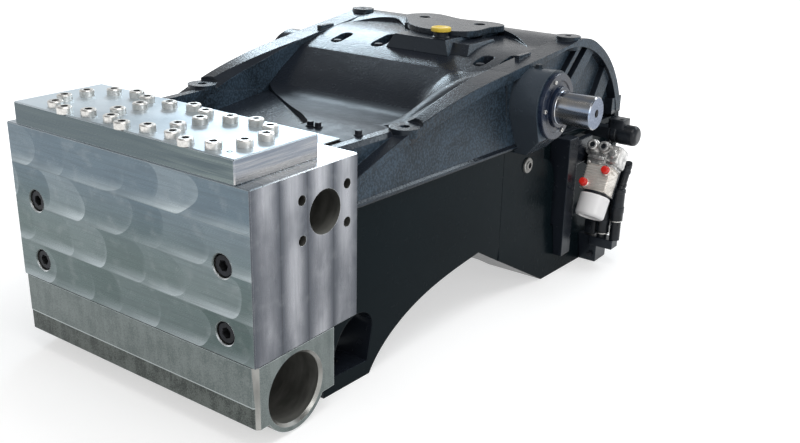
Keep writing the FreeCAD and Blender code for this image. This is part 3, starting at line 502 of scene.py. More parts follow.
@dataclass(frozen=True)
class MilledBlock:
    """Face-milled stainless steel with the cutter's overlapping passes, and painted light:
    highlights on the passes, a pale top and darker upright faces.
    """

    name: str
    low_z: float = 0.179
    row_h: float = 0.0865
    step: float = 0.118
    bow: float = 0.36
    row_shift: float = 0.37
    drift: float = 1.7
    drift_scale: float = 5.0
    drift_stretch: Place = (1.0, 0.0, 0.6)
    # lip, crest and glow values, with the streak colour below: painted highlights along the passes
    lip_v: tuple[float, float] = (0.02, 0.36)
    lip_u: tuple[float, float, float] = (0.0, 0.95, 0.3)
    lip_glow: float = 0.85
    crest_u: tuple[float, float, float, float] = (0.88, 1.0, 0.0, 0.16)
    crest_v: tuple[float, float] = (0.9, 0.3)
    least_glow: float = 0.3
    chance_glow: float = 0.28
    top_tint: Colour = (0.1, 0.138, 0.168)
    low_tint: Colour = (0.078, 0.112, 0.108)
    tint_from: tuple[float, float] = (0.12, 0.3)
    streak: Colour = (0.38, 0.43, 0.45)
    row_seam: Colour = (0.07, 0.09, 0.09)
    row_seam_v: float = 0.03
    row_seam_part: float = 0.35
    side_start: float = 0.73
    side_step: float = 0.074
    side_swell: float = 1.6
    side_dark: Colour = (0.095, 0.104, 0.122)
    side_lit: Colour = (0.4, 0.41, 0.44)
    side_seam: Colour = (0.06, 0.062, 0.07)
    side_seam_from: tuple[float, float] = (0.465, 0.5)
    side_seam_part: float = 0.55
    side_cloud_scale: float = 12.0
    side_cloud_stretch: Place = (1.0, 1.0, 0.5)
    side_cloud: tuple[float, float, float] = (0.3, 0.65, 0.25)
    # top and top_front: painted light, a pale top with a darker strip near the front edge
    top: Colour = (0.84, 0.88, 0.91)
    top_front: Colour = (0.4, 0.46, 0.51)
    top_blend: tuple[float, float] = (-0.72, -0.64)
    brush_scale: float = 170.0
    brush_x: Place = (0.05, 1.0, 1.0)
    brush_z: Place = (1.0, 1.0, 0.06)
    scratch: Colour = (0.08, 0.09, 0.1)
    scratch_mark: tuple[float, float, float, float] = (0.4, 0.7, 0.0, 0.16)
    rub: Colour = (0.4, 0.42, 0.43)
    rub_scale: float = 38.0
    rub_mark: tuple[float, float, float, float] = (0.5, 0.75, 0.0, 0.12)
    wear_glint: Colour = (0.75, 0.79, 0.8)
    wear_glint_reach: float = 0.0016
    wear_glint_part: float = 0.8
    roughness: tuple[float, float] = (0.24, 0.34)
    relief_part: float = 0.6
    depth: float = 0.00012
    edge: float = 0.0012

    def front(self, s: Shader, x: Value, z: Value) -> tuple[Value, Value]:
        """Return the colour of the front's passes, with painted highlights, and their brightness.

        Args:
            s: The material.
            x: Place along the face.
            z: Height.

        Returns:
            The colour and the brightness.
        """
        level = (z - self.low_z) / self.row_h
        row, v = math.floor(level), s.math("FRACT", level)
        across = v * 2.0 - 1.0
        bow = s.math("SQRT", s.math("MAXIMUM", 1.0 - across * across, 0.0))
        drift = s.noise(self.drift_scale, 1.0, self.drift_stretch)
        u = x / self.step - bow * self.bow + (row * self.row_shift + drift * self.drift)
        cell = s.node("ShaderNodeCombineXYZ", math.floor(u), row)
        chance = s.node("ShaderNodeTexWhiteNoise", out="Value", Vector=cell)
        along = s.math("FRACT", u)
        # painted highlight: light along the lower part of each row and on the crest of each arc, in
        # the streak colour
        lip_highlight = s.span(v, *self.lip_v, 1.0, 0.0) * s.span(along, *self.lip_u)
        crest = s.span(along, *self.crest_u) * s.span(v, *self.crest_v)
        swing = chance * (1.0 - self.least_glow) + self.least_glow
        glow = (lip_highlight * self.lip_glow + crest) * swing
        bright = s.math("ADD", glow, chance * self.chance_glow, clamp=True)
        low, high = (self.low_z + rise for rise in self.tint_from)
        tint = s.mix(s.span(z, low, high), self.low_tint, self.top_tint)
        colour = s.mix(bright, tint, self.streak)
        seam = s.span(v, 0.0, self.row_seam_v, self.row_seam_part, 0.0)
        return s.mix(seam, colour, self.row_seam), bright

    def side(self, s: Shader, y: Value) -> Value:
        """Return the colour of the upright passes on the ends, each with a painted highlight in its
        middle.

        Args:
            s: The material.
            y: Place along the face.

        Returns:
            The colour.
        """
        bands = s.math("FRACT", (y + self.side_start) / self.side_step)
        swell = s.math("SINE", bands * math.pi) ** self.side_swell
        cloud = s.noise(self.side_cloud_scale, 3.0, self.side_cloud_stretch)
        # painted highlight: each pass is lighter in its middle
        lit = swell * s.span(cloud, *self.side_cloud)
        seam = s.span(abs(bands - 0.5), *self.side_seam_from) * self.side_seam_part
        return s.mix(seam, s.mix(lit, self.side_dark, self.side_lit), self.side_seam)

    def build(self) -> bpy.types.Material:
        """Build the material.

        Returns:
            The material.
        """
        s = Shader(self.name)
        x, y, z = s.split(s.place)
        nx, _, nz = s.facing()
        is_side = abs(nx) > STEEP
        front, bright = self.front(s, x, z)
        brush = (1.0 - is_side) * s.noise(self.brush_scale, 3.0, self.brush_x)
        brush = brush + is_side * s.noise(self.brush_scale, 3.0, self.brush_z)
        # painted light: pale top, darker near the front edge, and darker front and ends of the same
        # steel
        top = s.mix(s.span(y, *self.top_blend), self.top_front, self.top)
        colour = s.mix(nz > STEEP, s.mix(is_side, front, self.side(s, y)), top)
        colour = s.mix(s.span(brush, *self.scratch_mark), colour, self.scratch)
        rubbed = s.span(s.noise(self.rub_scale, 4.0), *self.rub_mark)
        colour = s.mix(rubbed, colour, self.rub)
        # lighter edges: wear and painted highlight
        wear_glint_mask = s.wear_glint_mask(self.wear_glint_reach) * self.wear_glint_part
        s.set(Base_Color=s.mix(wear_glint_mask, colour, self.wear_glint), Metallic=1.0,
              Roughness=s.span(brush, *SOFT, *self.roughness))
        s.relief(brush * self.relief_part + bright * self.relief_part, self.depth, self.edge)
        return s.material


@dataclass(frozen=True)
class BrushedPlate:
    """Ground stainless steel, brushed lengthwise on its upright faces, with painted light: pale on
    top and dark on the front.
    """

    name: str
    top: Colour = (0.4, 0.47, 0.52)
    top_shade: Colour = (0.56, 0.63, 0.68)
    # top_left_highlight: painted highlight on the left of the top
    top_left_highlight: Colour = (0.75, 0.84, 0.9)
    top_left_x: tuple[float, float] = (-0.27, -0.12)
    top_left_part: float = 0.8
    top_roughness: float = 0.18
    front: Colour = (0.085, 0.11, 0.122)
    front_shade: Colour = (0.2, 0.24, 0.235)
    side: Colour = (0.17, 0.195, 0.235)
    side_shade: Colour = (0.33, 0.34, 0.36)
    side_low: Colour = (0.48, 0.46, 0.45)
    seam_z: float = 0.536
    seam_reach: tuple[float, float] = (-0.004, 0.012)
    seam_part: float = 0.75
    lit_end: tuple[float, float, float, float] = (0.0, 0.3, 0.15, 0.8)
    line_scale: float = 300.0
    line_stretch: Place = (0.03, 0.03, 1.0)
    wide_scale: float = 60.0
    wide_stretch: Place = (0.1, 0.1, 1.0)
    cloud_scale: float = 7.0
    cloud_part: float = 0.8
    speck_scale: float = 240.0
    speck_part: float = 0.2
    line_part: float = 0.5
    wear_glint: Colour = (0.82, 0.86, 0.88)
    wear_glint_reach: float = 0.0022
    roughness: tuple[float, float] = (0.2, 0.3)
    depth: float = 0.0001
    edge: float = 0.001

    def build(self) -> bpy.types.Material:
        """Build the material.

        Returns:
            The material.
        """
        s = Shader(self.name)
        x, _, z = s.split(s.place)
        nx, _, nz = s.facing()
        is_top = nz > STEEP
        lines = s.noise(self.line_scale, 3.0, self.line_stretch)
        wide = s.noise(self.wide_scale, 2.0, self.wide_stretch)
        streak = lines * self.line_part + wide * (1.0 - self.line_part)
        streak = s.span(streak, *CRISP)
        # painted highlight: the front's streaks grow brighter towards the lit end
        end = s.span(x, *self.lit_end)
        front = s.mix(streak * end, self.front, self.front_shade)
        low, high = (self.seam_z + reach for reach in self.seam_reach)
        side = s.mix(streak, self.side, self.side_shade)
        side = s.mix(s.span(z, low, high, self.seam_part, 0.0), side, self.side_low)
        cloud = s.noise(self.cloud_scale) * self.cloud_part
        cloud = cloud + s.noise(self.speck_scale) * self.speck_part
        top = s.mix(s.span(cloud, *CRISP), self.top, self.top_shade)
        # painted highlight towards the left of the top
        left = s.span(x, *self.top_left_x, self.top_left_part, 0.0)
        top = s.mix(left, top, self.top_left_highlight)
        # painted light: pale top, darker front and ends of the same steel
        colour = s.mix(is_top, s.mix(abs(nx) > STEEP, front, side), top)
        # lighter edges: wear and painted highlight
        s.set(Base_Color=s.mix(s.wear_glint_mask(self.wear_glint_reach), colour, self.wear_glint), Metallic=1.0,
              Roughness=s.span(lines, *SOFT, *self.roughness) + is_top * self.top_roughness)
        s.relief(lines, self.depth, self.edge)
        return s.material


@dataclass(frozen=True)
class Moulded:
    """Plastic, blackened steel or satin paint."""

    name: str
    colour: Colour
    shade: Colour
    roughness: float = 0.35
    gloss: float = 0.5
    cloud_scale: float = 30.0
    grain_scale: float = 400.0
    depth: float = 0.0001
    edge: float = 0.001
    spread: tuple[float, float] = (0.9, 1.2)

    def build(self) -> bpy.types.Material:
        """Build the material.

        Returns:
            The material.
        """
        s = Shader(self.name)
        cloud = s.noise(self.cloud_scale)
        rough = (self.roughness * part for part in self.spread)
        s.set(Base_Color=s.mix(s.span(cloud, *SOFT), self.colour, self.shade), Metallic=0.0,
              Specular_IOR_Level=self.gloss, Roughness=s.span(cloud, *SOFT, *rough))
        s.relief(s.noise(self.grain_scale, 2.0), self.depth, self.edge)
        return s.material


class Finish(Enum):
    """The record's material slots, each with its finish."""

    MILLED = MilledBlock("milled_stainless")
    BRIGHT = BrushedPlate("bright_stainless")
    ROUGH = RoughManifold("rough_stainless")
    SCREW = PlainSteel("screw_steel", (0.74, 0.73, 0.7), (0.56, 0.55, 0.53), 0.36, edge=0.0012)
    BLACK_STEEL = Moulded("black_steel", (0.01, 0.012, 0.016), (0.026, 0.029, 0.038), 0.34,
                          gloss=0.16)
    CAST = CastPaint("black_casting")
    # lengthwise streaks between blue and brown: grinding streaks, in colours that are painted
    # reflection
    POLISHED = PlainSteel("polished_steel", (0.2, 0.26, 0.36), (0.5, 0.47, 0.43), 0.2,
                          (0.05, 1.0, 1.0), 70.0)
    BLUE = Moulded("blue_ring", (0.008, 0.013, 0.028), (0.014, 0.024, 0.05), 0.24, gloss=0.4)
    BLACK_PLASTIC = Moulded("black_plastic", (0.007, 0.009, 0.012), (0.014, 0.018, 0.024), 0.3,
                            gloss=0.3)
    YELLOW = Moulded("yellow_plastic", (0.82, 0.6, 0.06), (0.7, 0.48, 0.04), 0.4)
    RED = Moulded("red_plastic", (0.82, 0.02, 0.012), (0.7, 0.02, 0.012), 0.3)
    WHITE = Moulded("white_can", (0.98, 0.965, 0.96), (0.95, 0.94, 0.94), 0.2)
    SILVER = PlainSteel("cast_silver", (0.8, 0.79, 0.77), (0.22, 0.22, 0.22), 0.3,
                        grain_scale=90.0, depth=0.0008, metal=0.75)


class Extra(Enum):
    """Finishes of small pieces and faces that differ from their slot's main finish."""

    COOLER = PlainSteel("cooler_steel", (0.98, 0.93, 0.86), (0.55, 0.51, 0.46), 0.26,
                        (0.06, 0.06, 1.0), 180.0, metal=0.5)
    # lit: painted shade on the down-facing side of the counterbore rims
    COUNTERBORE = PlainSteel("counterbore_rim", (0.86, 0.9, 0.92), (0.6, 0.64, 0.66), 0.25,
                             lit=True)
    WASHER = PlainSteel("wall_washer", (0.36, 0.36, 0.35), (0.22, 0.22, 0.21), 0.4, metal=0.7)
    # painted shade: a darker copy of the shaft steel for its end face
    SHADED_END_FACE = PlainSteel("shaft_end_face_shaded", (0.17, 0.2, 0.27), (0.12, 0.145, 0.2), 0.3,
                          grain_scale=160.0)
    TROUGH = CastPaint("black_casting_hood", roughness=0.4, gloss=0.2)
    # painted shade: a darker copy of the black paint, with a bluer reflection tint, for the side
    # walls below the ridge
    SHADED_LOW_WALL = CastPaint("black_casting_low_shaded", (0.0035, 0.007, 0.009), (0.0055, 0.0105, 0.0135),
                         gloss=0.05, tint=(0.6, 0.85, 1.0))
    # painted light: a lighter copy of the black paint for the flanks of the bearing boss
    LIT_BOSS = CastPaint("boss_casting_lit", (0.036, 0.046, 0.058), (0.05, 0.062, 0.078))
    # painted shade: dark steel inside the bores of the block and manifold
    SHADED_BORE = PlainSteel("shaded_bore", (0.12, 0.12, 0.11), (0.27, 0.27, 0.25), 0.45,
                           (1.0, 0.2, 0.2), 60.0, metal=0.6)
    # painted shade: dark colour inside the screw sockets, the shaft's centre hole and the wall
    # bolt's socket
    SHADED_SOCKET = PlainSteel("socket", (0.03, 0.032, 0.035), (0.06, 0.062, 0.066), 0.5, metal=0.6)
    BORE_LIP = PlainSteel("bore_lip", (0.4, 0.4, 0.38), (0.2, 0.2, 0.19), 0.3, (1.0, 0.2, 0.2),
                          60.0)


def metres(*lengths: float) -> Vector:
    """Return three lengths in millimetres as a vector in metres."""
    return Vector(lengths) * MM


def linked(name: str, data: bpy.types.ID) -> bpy.types.Object:
    """Return a new object in the scene.

    Args:
        name: The object's name.
        data: Its mesh, lamp or camera.

    Returns:
        The object.
    """
    piece = bpy.data.objects.new(name, data)
    bpy.context.scene.collection.objects.link(piece)
    return piece


def smoothed(mesh: bpy.types.Mesh, crease: float = CREASE) -> None:
    """Shade a mesh smooth, and keep edges sharp that turn by more than crease degrees."""
    mesh.shade_smooth()
    mesh.set_sharp_from_angle(angle=math.radians(crease))


def merged(source: bpy.types.Object) -> Work:
    """Return a merged copy of an object's mesh.

    Args:
        source: The object.

    Returns:
        The mesh in work.
    """
    work = bmesh.new()
    work.from_mesh(source.data)
    bmesh.ops.remove_doubles(work, verts=work.verts, dist=MERGE)
    return work


def finished(work: Work, name: str, paint: bpy.types.Material,
             crease: float = CREASE) -> bpy.types.Object:
    """Turn a mesh in work into a smooth shaded object.

    Args:
        work: The mesh in work, which is freed.
        name: The object's name.
        paint: Its material.
        crease: Edges sharper than this many degrees stay sharp.

    Returns:
        The object.
    """
    mesh = bpy.data.meshes.new(name)
    work.to_mesh(mesh)
    work.free()
    if "custom_normal" in mesh.attributes:
        mesh.attributes.remove(mesh.attributes["custom_normal"])
    smoothed(mesh, crease)
    mesh.materials.clear()
    mesh.materials.append(paint)
    return linked(name, mesh)


def placed(work: Work, place: Matrix) -> Work:
    """Move and turn a mesh in work, and return it."""
    bmesh.ops.transform(work, matrix=place, verts=work.verts)
    return work


def join(target: Work, extra: Work, place: Matrix | None = None) -> None:
    """Add one mesh in work to another, and free it.

    Args:
        target: The mesh that grows.
        extra: The mesh that is added.
        place: Where it goes; as it lies if None.
    """
    mesh = bpy.data.meshes.new("joined")
    (placed(extra, place) if place else extra).to_mesh(mesh)
    extra.free()
    target.from_mesh(mesh)
    bpy.data.meshes.remove(mesh)


def seat(spot: Vector, axis: str = "+Z") -> Matrix:
    """Return the place of a turned piece.

    Args:
        spot: Where its foot stands, in metres.
        axis: The way that it points, such as "+X" or "-Y".

    Returns:
        The place.
    """
    way = Vector([letter == axis[1] for letter in "XYZ"]) * (1 if axis[0] == "+" else -1)
    turn = Vector((0, 0, 1)).rotation_difference(way).to_matrix().to_4x4()
    return Matrix.Translation(spot) @ turn


def side_middle(node: str, side: str) -> Vector:
    """Return the middle of one side of a CAD node's box.

    Args:
        node: The node.
        side: The side, such as "+X" or "-Y".

    Returns:
        The middle, in metres.
    """
    low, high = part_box(node)
    spot = (low + high) / 2
    axis = "XYZ".index(side[1])
    spot[axis] = (high if side[0] == "+" else low)[axis]
    return spot


def circle(sides: int) -> list[tuple[float, float]]:
    """Return the cosine and sine of evenly spread angles."""
    turns = [2 * math.pi * k / sides for k in range(sides)]
    return [(math.cos(t), math.sin(t)) for t in turns]


def skinned(rings: Sequence[Sequence[Vector]]) -> Work:
    """Return a closed skin over rings of points.

    Args:
        rings: The rings; one with a single point is a pole.

    Returns:
        The mesh in work.
    """
    work = bmesh.new()
    loops = [[work.verts.new(point) for point in ring] for ring in rings]
    for low, high in pairwise(loops):
        count = max(len(low), len(high))
        for k in range(count):
            j = (k + 1) % count
            quad = [low[k % len(low)], low[j % len(low)], high[j % len(high)], high[k % len(high)]]
            corners = [v for i, v in enumerate(quad) if v not in quad[:i]]
            if len(corners) > 2:
                work.faces.new(corners)
    for ring in (loops[0], loops[-1]):
        if len(ring) > 1:
            work.faces.new(ring)
    bmesh.ops.recalc_face_normals(work, faces=work.faces)
    return work


def turned(profile: Profile, sides: int = 64) -> Work:
    """Turn a profile round the z axis.

    Args:
        profile: Points (radius, height) in millimetres, from the bottom to the top.
        sides: The number of sides.

    Returns:
        A closed mesh in work.
    """
    turns = circle(sides)
    return skinned([[metres(r * c, r * s, h) for c, s in turns] if r > TINY else [metres(0, 0, h)]
                    for r, h in profile])


def ring(profile: Profile, sides: int = 64) -> Work:
    """Turn a closed profile round the z axis.

    Args:
        profile: Corners (radius, height) in millimetres.
        sides: The number of sides.

    Returns:
        A ring as a mesh in work.
    """
    work = turned([*profile, profile[0]], sides)
    ends = [face for face in work.faces if len(face.verts) > 4]
    bmesh.ops.delete(work, geom=ends, context="FACES_ONLY")
    bmesh.ops.remove_doubles(work, verts=work.verts, dist=SAME)
    bmesh.ops.recalc_face_normals(work, faces=work.faces)
    return work


def arc(centre: tuple[float, float], radius: float, start: float, end: float,
        steps: int = 6) -> list[tuple[float, float]]:
    """Return points on an arc of a profile.

    Args:
        centre: The arc's centre.
        radius: Its radius.
        start: Its start in degrees.
        end: Its end in degrees.
        steps: The number of steps.

    Returns:
        The points.
    """
    turns = [math.radians(start + (end - start) * k / steps) for k in range(steps + 1)]
    return [(centre[0] + radius * math.cos(t), centre[1] + radius * math.sin(t)) for t in turns]


def rounded_box(low: Place, high: Place, radius: float, steps: int = 3) -> Work:
    """Return a box with rounded edges.

    Args:
        low: The lowest corner in millimetres.
        high: The highest corner in millimetres.
        radius: Radius of the edges in millimetres.
        steps: Segments of each rounded edge.

    Returns:
        The mesh in work.
    """
    work = bmesh.new()
    bmesh.ops.create_cube(work, size=1.0)
    for vertex in work.verts:
        vertex.co = metres(*((a + b) / 2 + (b - a) * v for a, b, v in zip(low, high, vertex.co)))
    bmesh.ops.bevel(work, geom=work.edges[:], offset=radius * MM, segments=steps, profile=0.5,
                    affect="EDGES")
    return work


def tube(points: Sequence[Vector], radius: float, sides: int = 20) -> Work:
    """Return a bent tube through points.

    Args:
        points: Its middle line, in metres.
        radius: Its radius in metres.
        sides: The number of sides.

    Returns:
        The mesh in work.
    """
    rings = []
    for i, point in enumerate(points):
        ahead = (points[min(i + 1, len(points) - 1)] - points[max(i - 1, 0)]).normalized()
        side = ahead.cross(Vector((1, 0, 0))).normalized()
        up = side.cross(ahead)
        rings.append([point + side * radius * c + up * radius * s for c, s in circle(sides)])
    return skinned(rings)


class HeadTree(Graph):
    """Geometry Nodes that set one head on each point of a mesh."""

    INPUTS = {"Radius": "Float", "Height": "Float", "Chamfer": "Float", "Sides": "Int",
              "Socket": "Float", "Depth": "Float", "Washer": "Float", "Lean": "Vector",
              "Seed": "Int", "Paint": "Material", "Inner": "Material"}
    RISE = 0.0001
    WELD = 0.000005
    WASHER_H = 0.0025
    WASHER_TOP = 0.97
    WASHER_SIDES = 48

    def __init__(self) -> None:
        """Build the tree."""
        super().__init__(bpy.data.node_groups.new("screw_heads", "GeometryNodeTree"))
        face = self.tree.interface
        for way in ("INPUT", "OUTPUT"):
            face.new_socket("Geometry", in_out=way, socket_type="NodeSocketGeometry")
        self.keys = {
            name: face.new_socket(name, in_out="INPUT", socket_type="NodeSocket" + kind).identifier
            for name, kind in self.INPUTS.items()
        }
        given = self.add("NodeGroupInput").outputs
        self.given = {name: Value(self, given[name]) for name in ("Geometry", *self.INPUTS)}
        self.wire()

    def lifted(self, geometry: Value, height: object) -> Value:
        """Return geometry moved up by a height."""
        shift = self.node("ShaderNodeCombineXYZ", Z=height)
        return self.node("GeometryNodeTransform", Geometry=geometry, Translation=shift)

    def wall(self, radii: tuple[object, object], depth: object, lift: object,
             sides: int = 0) -> Value:
        """Return the wall of a cylinder or cone.

        Args:
            radii: Radius of its bottom and its top.
            depth: Its height.
            lift: Height of its bottom.
            sides: The number of sides of a closed one; as many as the head, and open, if 0.

        Returns:
            The geometry.
        """
        cone = self.node("GeometryNodeMeshCone", setup={"fill_type": "NGON" if sides else "NONE"},
                         Vertices=sides or self.given["Sides"], Radius_Bottom=radii[0],
                         Radius_Top=radii[1], Depth=depth)
        return self.lifted(cone, lift)

    def disk(self, radius: Value, lift: object) -> Value:
        """Return a flat disk that faces up.

        Args:
            radius: Its radius.
            lift: Its height.

        Returns:
            The geometry.
        """
        flat = self.node("GeometryNodeMeshCircle", setup={"fill_type": "NGON"},
                         Vertices=self.given["Sides"], Radius=radius)
        return self.lifted(flat, lift)

    def turned_over(self, geometry: Value) -> Value:
        """Return geometry with its faces turned the other way."""
        return self.node("GeometryNodeFlipFaces", Mesh=geometry)

    def joined(self, *parts: Value) -> Value:
        """Return several geometries as one.

        Args:
            parts: The geometries.

        Returns:
            The geometry.
        """
        node = self.add("GeometryNodeJoinGeometry")
        for part in parts:
            self.put(node.inputs[0], part)
        return Value(self, node.outputs[0])

    def to_hexagon(self, geometry: Value, radius: Value) -> Value:
        """Press the round socket of a head into a hexagon and mark its faces.

        Args:
            geometry: The head.
            radius: Radius of the socket.

        Returns:
            The head, with the face attribute "inner".
        """
        x, y, z = self.split(self.node("GeometryNodeInputPosition"))
        inner = self.math("SQRT", x * x + y * y) < radius * 1.01
        turn = self.math("ARCTAN2", y, x) % (math.pi / 3)
        factor = math.cos(math.pi / 6) / self.math("COSINE", turn - math.pi / 6)
        moved = self.node("ShaderNodeCombineXYZ", x * factor, y * factor, z)
        pressed = self.node("GeometryNodeSetPosition", Geometry=geometry, Selection=inner,
                            Position=moved)
        return self.node("GeometryNodeStoreNamedAttribute", Geometry=pressed, Name="inner",
                         Value=inner, setup={"data_type": "BOOLEAN", "domain": "FACE"})

    def head(self) -> Value:
        """Return one head with its socket and washer, pointing up.

        Returns:
            The geometry.
        """
        g, rise = self.given, self.RISE
        straight, crown = g["Height"] - g["Chamfer"], g["Radius"] - g["Chamfer"]
        floor = g["Height"] - g["Depth"]
        bore = self.wall((g["Socket"], g["Socket"]), g["Depth"] + rise, floor)
        skin = self.joined(self.wall((g["Radius"], g["Radius"]), straight, 0.0),
                           self.wall((g["Radius"], crown), g["Chamfer"], straight),
                           self.wall((crown, g["Socket"]), rise, g["Height"]),
                           self.turned_over(bore), self.disk(g["Socket"], floor),
                           self.turned_over(self.disk(g["Radius"], 0.0)))
        weld = self.node("GeometryNodeMergeByDistance", Geometry=skin, Distance=self.WELD)
        radii = g["Washer"], g["Washer"] * self.WASHER_TOP
        washer = self.wall(radii, self.WASHER_H, 0.0, self.WASHER_SIDES)
        return self.joined(self.to_hexagon(weld, g["Socket"]), washer)

    def wire(self) -> None:
        """Set the heads on the points, each turned by chance, and give them their finish, with
        painted shade inside the sockets.
        """
        g = self.given
        spin = self.node("FunctionNodeRandomValue", setup={"data_type": "FLOAT"}, Min=0.0,
                         Max=2 * math.pi, Seed=g["Seed"])
        turn = self.node("FunctionNodeEulerToRotation", self.node("ShaderNodeCombineXYZ", Z=spin))
        spots = self.node("GeometryNodeMeshToPoints", Mesh=g["Geometry"])
        copies = self.node("GeometryNodeInstanceOnPoints", Points=spots, Instance=self.head(),
                           Rotation=turn)
        lean = self.node("FunctionNodeEulerToRotation", g["Lean"])
        leaning = self.node("GeometryNodeRotateInstances", Instances=copies, Rotation=lean,
                            Pivot_Point=self.node("GeometryNodeInputPosition"), Local_Space=False)
        real = self.node("GeometryNodeRealizeInstances", Geometry=leaning)
        paint = self.node("GeometryNodeSetMaterial", Geometry=real, Material=g["Paint"])
        # painted shade: the socket faces take the Inner paint
        inner = self.node("GeometryNodeInputNamedAttribute", setup={"data_type": "BOOLEAN"},
                          Name="inner")
        dark = self.node("GeometryNodeSetMaterial", Geometry=paint, Material=g["Inner"],
                         Selection=inner)
        self.put(self.add("NodeGroupOutput").inputs[0], dark)


class Yard:
    """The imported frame, with the finishes and the screw heads that its pieces take."""

    def __init__(self) -> None:
        """Load the frame, and make every finish and the tree of the screw heads."""
        self.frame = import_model()
        record = self.frame["record"]
        self.body = {node: body for body, nodes in record["behaviour"]["bodies"].items()
                     for node in nodes}
        self.slots = {part["node"]: part["material_slot"] for part in record["subparts"]}
        finishes = {finish.value.name: finish.value for finish in Finish}
        self.paints = {slot: finishes[slot].build() for slot in sorted(set(self.slots.values()))}
        self.paints |= {extra: extra.value.build() for extra in Extra}
        self.heads = HeadTree()

    def node(self, name: str) -> bpy.types.Object:
        """Return a CAD node's object."""
        return self.frame["nodes"][name]

    def paint_plain_nodes(self) -> None:
        """Give every CAD node its slot's finish."""
        for name, slot in self.slots.items():
            mesh = self.node(name).data
            mesh.materials.clear()
            mesh.materials.append(self.paints[slot])

    def dress(self, piece: bpy.types.Object, node: str, replaces: bool = True) -> None:
        """Let a piece ride where a node does.

        Args:
            piece: The piece.
            node: The node that it belongs to.
            replaces: Whether it stands for the node.
        """
        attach(piece, self.body[node])
        if replaces:
            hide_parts(node)
        log.info("%s: %d faces on %s", piece.name, len(piece.data.polygons), node)

    def place(self, work: Work, name: str, node: str, replaces: bool = True,
              slot: str | None = None, crease: float = CREASE) -> bpy.types.Object:
        """Finish a mesh in work as a piece of a node.

        Args:
            work: The mesh in work.
            name: The piece's name.
            node: The node that it belongs to.
            replaces: Whether it stands for the node.
            slot: Another slot's finish for it; the node's own if None.
            crease: Edges sharper than this many degrees stay sharp.

        Returns:
            The piece.
        """
        piece = finished(work, name, self.paints[slot or self.slots[node]], crease)
        self.dress(piece, node, replaces)
        return piece

    def repaint(self, piece: bpy.types.Object, paint: Extra | str,
                chosen: Callable[[bpy.types.MeshPolygon], bool]) -> None:
        """Give some faces of a piece another finish.

        Args:
            piece: The piece.
            paint: The other finish.
            chosen: Says whether a face takes it.
        """
        piece.data.materials.append(self.paints[paint])
        last = len(piece.data.materials) - 1
        for face in piece.data.polygons:
            if chosen(face):
                face.material_index = last

    def centres(self, node: str) -> list[Vector]:
        """Return the middle of each loose solid of a node.

        Args:
            node: The node.

        Returns:
            The middles, in metres.
        """
        work = merged(self.node(node))
        left = set(work.verts)
        middles = []
        for start in work.verts:
            heap, group = [start] if start in left else [], []
            left.discard(start)
            while heap:
                vertex = heap.pop()
                group.append(vertex.co.copy())
                near = {edge.other_vert(vertex) for edge in vertex.link_edges} & left
                left -= near
                heap += near
            if group:
                low, high = (Vector([pick(p[i] for p in group) for i in range(3)])
                             for pick in (min, max))
                middles.append((low + high) / 2)
        work.free()
        return middles


class Axis(Enum):
    """The way that a screw's head points, and its turn from the z axis."""

    UP = ((0, 0, 1), (0.0, 0.0, 0.0))
    FRONT = ((0, -1, 0), (math.pi / 2, 0.0, 0.0))
    RIGHT = ((1, 0, 0), (0.0, math.pi / 2, 0.0))
    LEFT = ((-1, 0, 0), (0.0, -math.pi / 2, 0.0))


@dataclass(frozen=True)
class ScrewSet:
    """The heads of one set of screws. Lengths are in millimetres."""

    NONE = 0.01

    node: str
    axis: Axis
    solid_h: float
    radius: float
    height: float
    chamfer: float
    socket: float = 0.0
    depth: float = 0.0
    sides: int = 48
    washer: float = 0.0
    seed: int = 3
    side: int = 0
    label: str = "heads"

    def inputs(self, yard: Yard) -> dict[str, object]:
        """Return what goes into the inputs of the heads' tree.

        Args:
            yard: The finishes.

        Returns:
            The values, by the inputs' names.
        """
        lengths = {"Radius": self.radius, "Height": self.height, "Chamfer": self.chamfer,
                   "Socket": max(self.socket, self.NONE), "Depth": self.depth,
                   "Washer": max(self.washer, self.NONE)}
        return {**{name: length * MM for name, length in lengths.items()}, "Sides": self.sides,
                "Lean": self.axis.value[1], "Seed": self.seed,
                "Paint": yard.paints[yard.slots[self.node]], "Inner": yard.paints[Extra.SHADED_SOCKET]}

    def build(self, yard: Yard) -> list[Vector]:
        """Set the heads on their seats as one plain mesh, and dress it.

        Args:
            yard: The frame, finishes and tree.

        Returns:
            The middle of each head's solid, in metres.
        """
        middles = [p for p in yard.centres(self.node) if p.x * self.side >= 0]
        rise = Vector(self.axis.value[0]) * (self.solid_h / 2 * MM)
        name = f"{self.node}_{self.label}"
        spots = bpy.data.meshes.new(name + "_seats")
        spots.from_pydata([tuple(p - rise) for p in middles], [], [])
        carrier = linked(name + "_seats", spots)
        modifier = carrier.modifiers.new("heads", "NODES")
        modifier.node_group = yard.heads.tree
        for title, value in self.inputs(yard).items():
            modifier[yard.heads.keys[title]] = value
        graph = bpy.context.evaluated_depsgraph_get()
        graph.update()
        mesh = bpy.data.meshes.new_from_object(carrier.evaluated_get(graph))
        carrier.modifiers.remove(modifier)
        bpy.data.objects.remove(carrier)
        mesh.name = name
        smoothed(mesh)
        yard.dress(linked(name, mesh), self.node)
        return middles


@dataclass(frozen=True)
class Skin:
    """A CAD node's own surface, merged, smooth and with rounded edges."""

    node: str
    edge: float = 0.0
    segments: int = 2
    from_angle: float = 35.0

    def build(self, yard: Yard) -> bpy.types.Object:
        """Return the piece that stands for the node.

        Args:
            yard: The frame and finishes.

        Returns:
            The piece.
        """
        piece = yard.place(merged(yard.node(self.node)), self.node + "_skin", self.node)
        if self.edge:
            bevel = piece.modifiers.new("edges", "BEVEL")
            bevel.width = self.edge * MM
            bevel.segments = self.segments
            bevel.limit_method = "ANGLE"
            bevel.angle_limit = math.radians(self.from_angle)
            bevel.harden_normals = True
            bevel.use_clamp_overlap = False
        return piece


@dataclass
class Section:
    """Pieces of the pump that are dressed together. Lengths are in millimetres."""

    yard: Yard


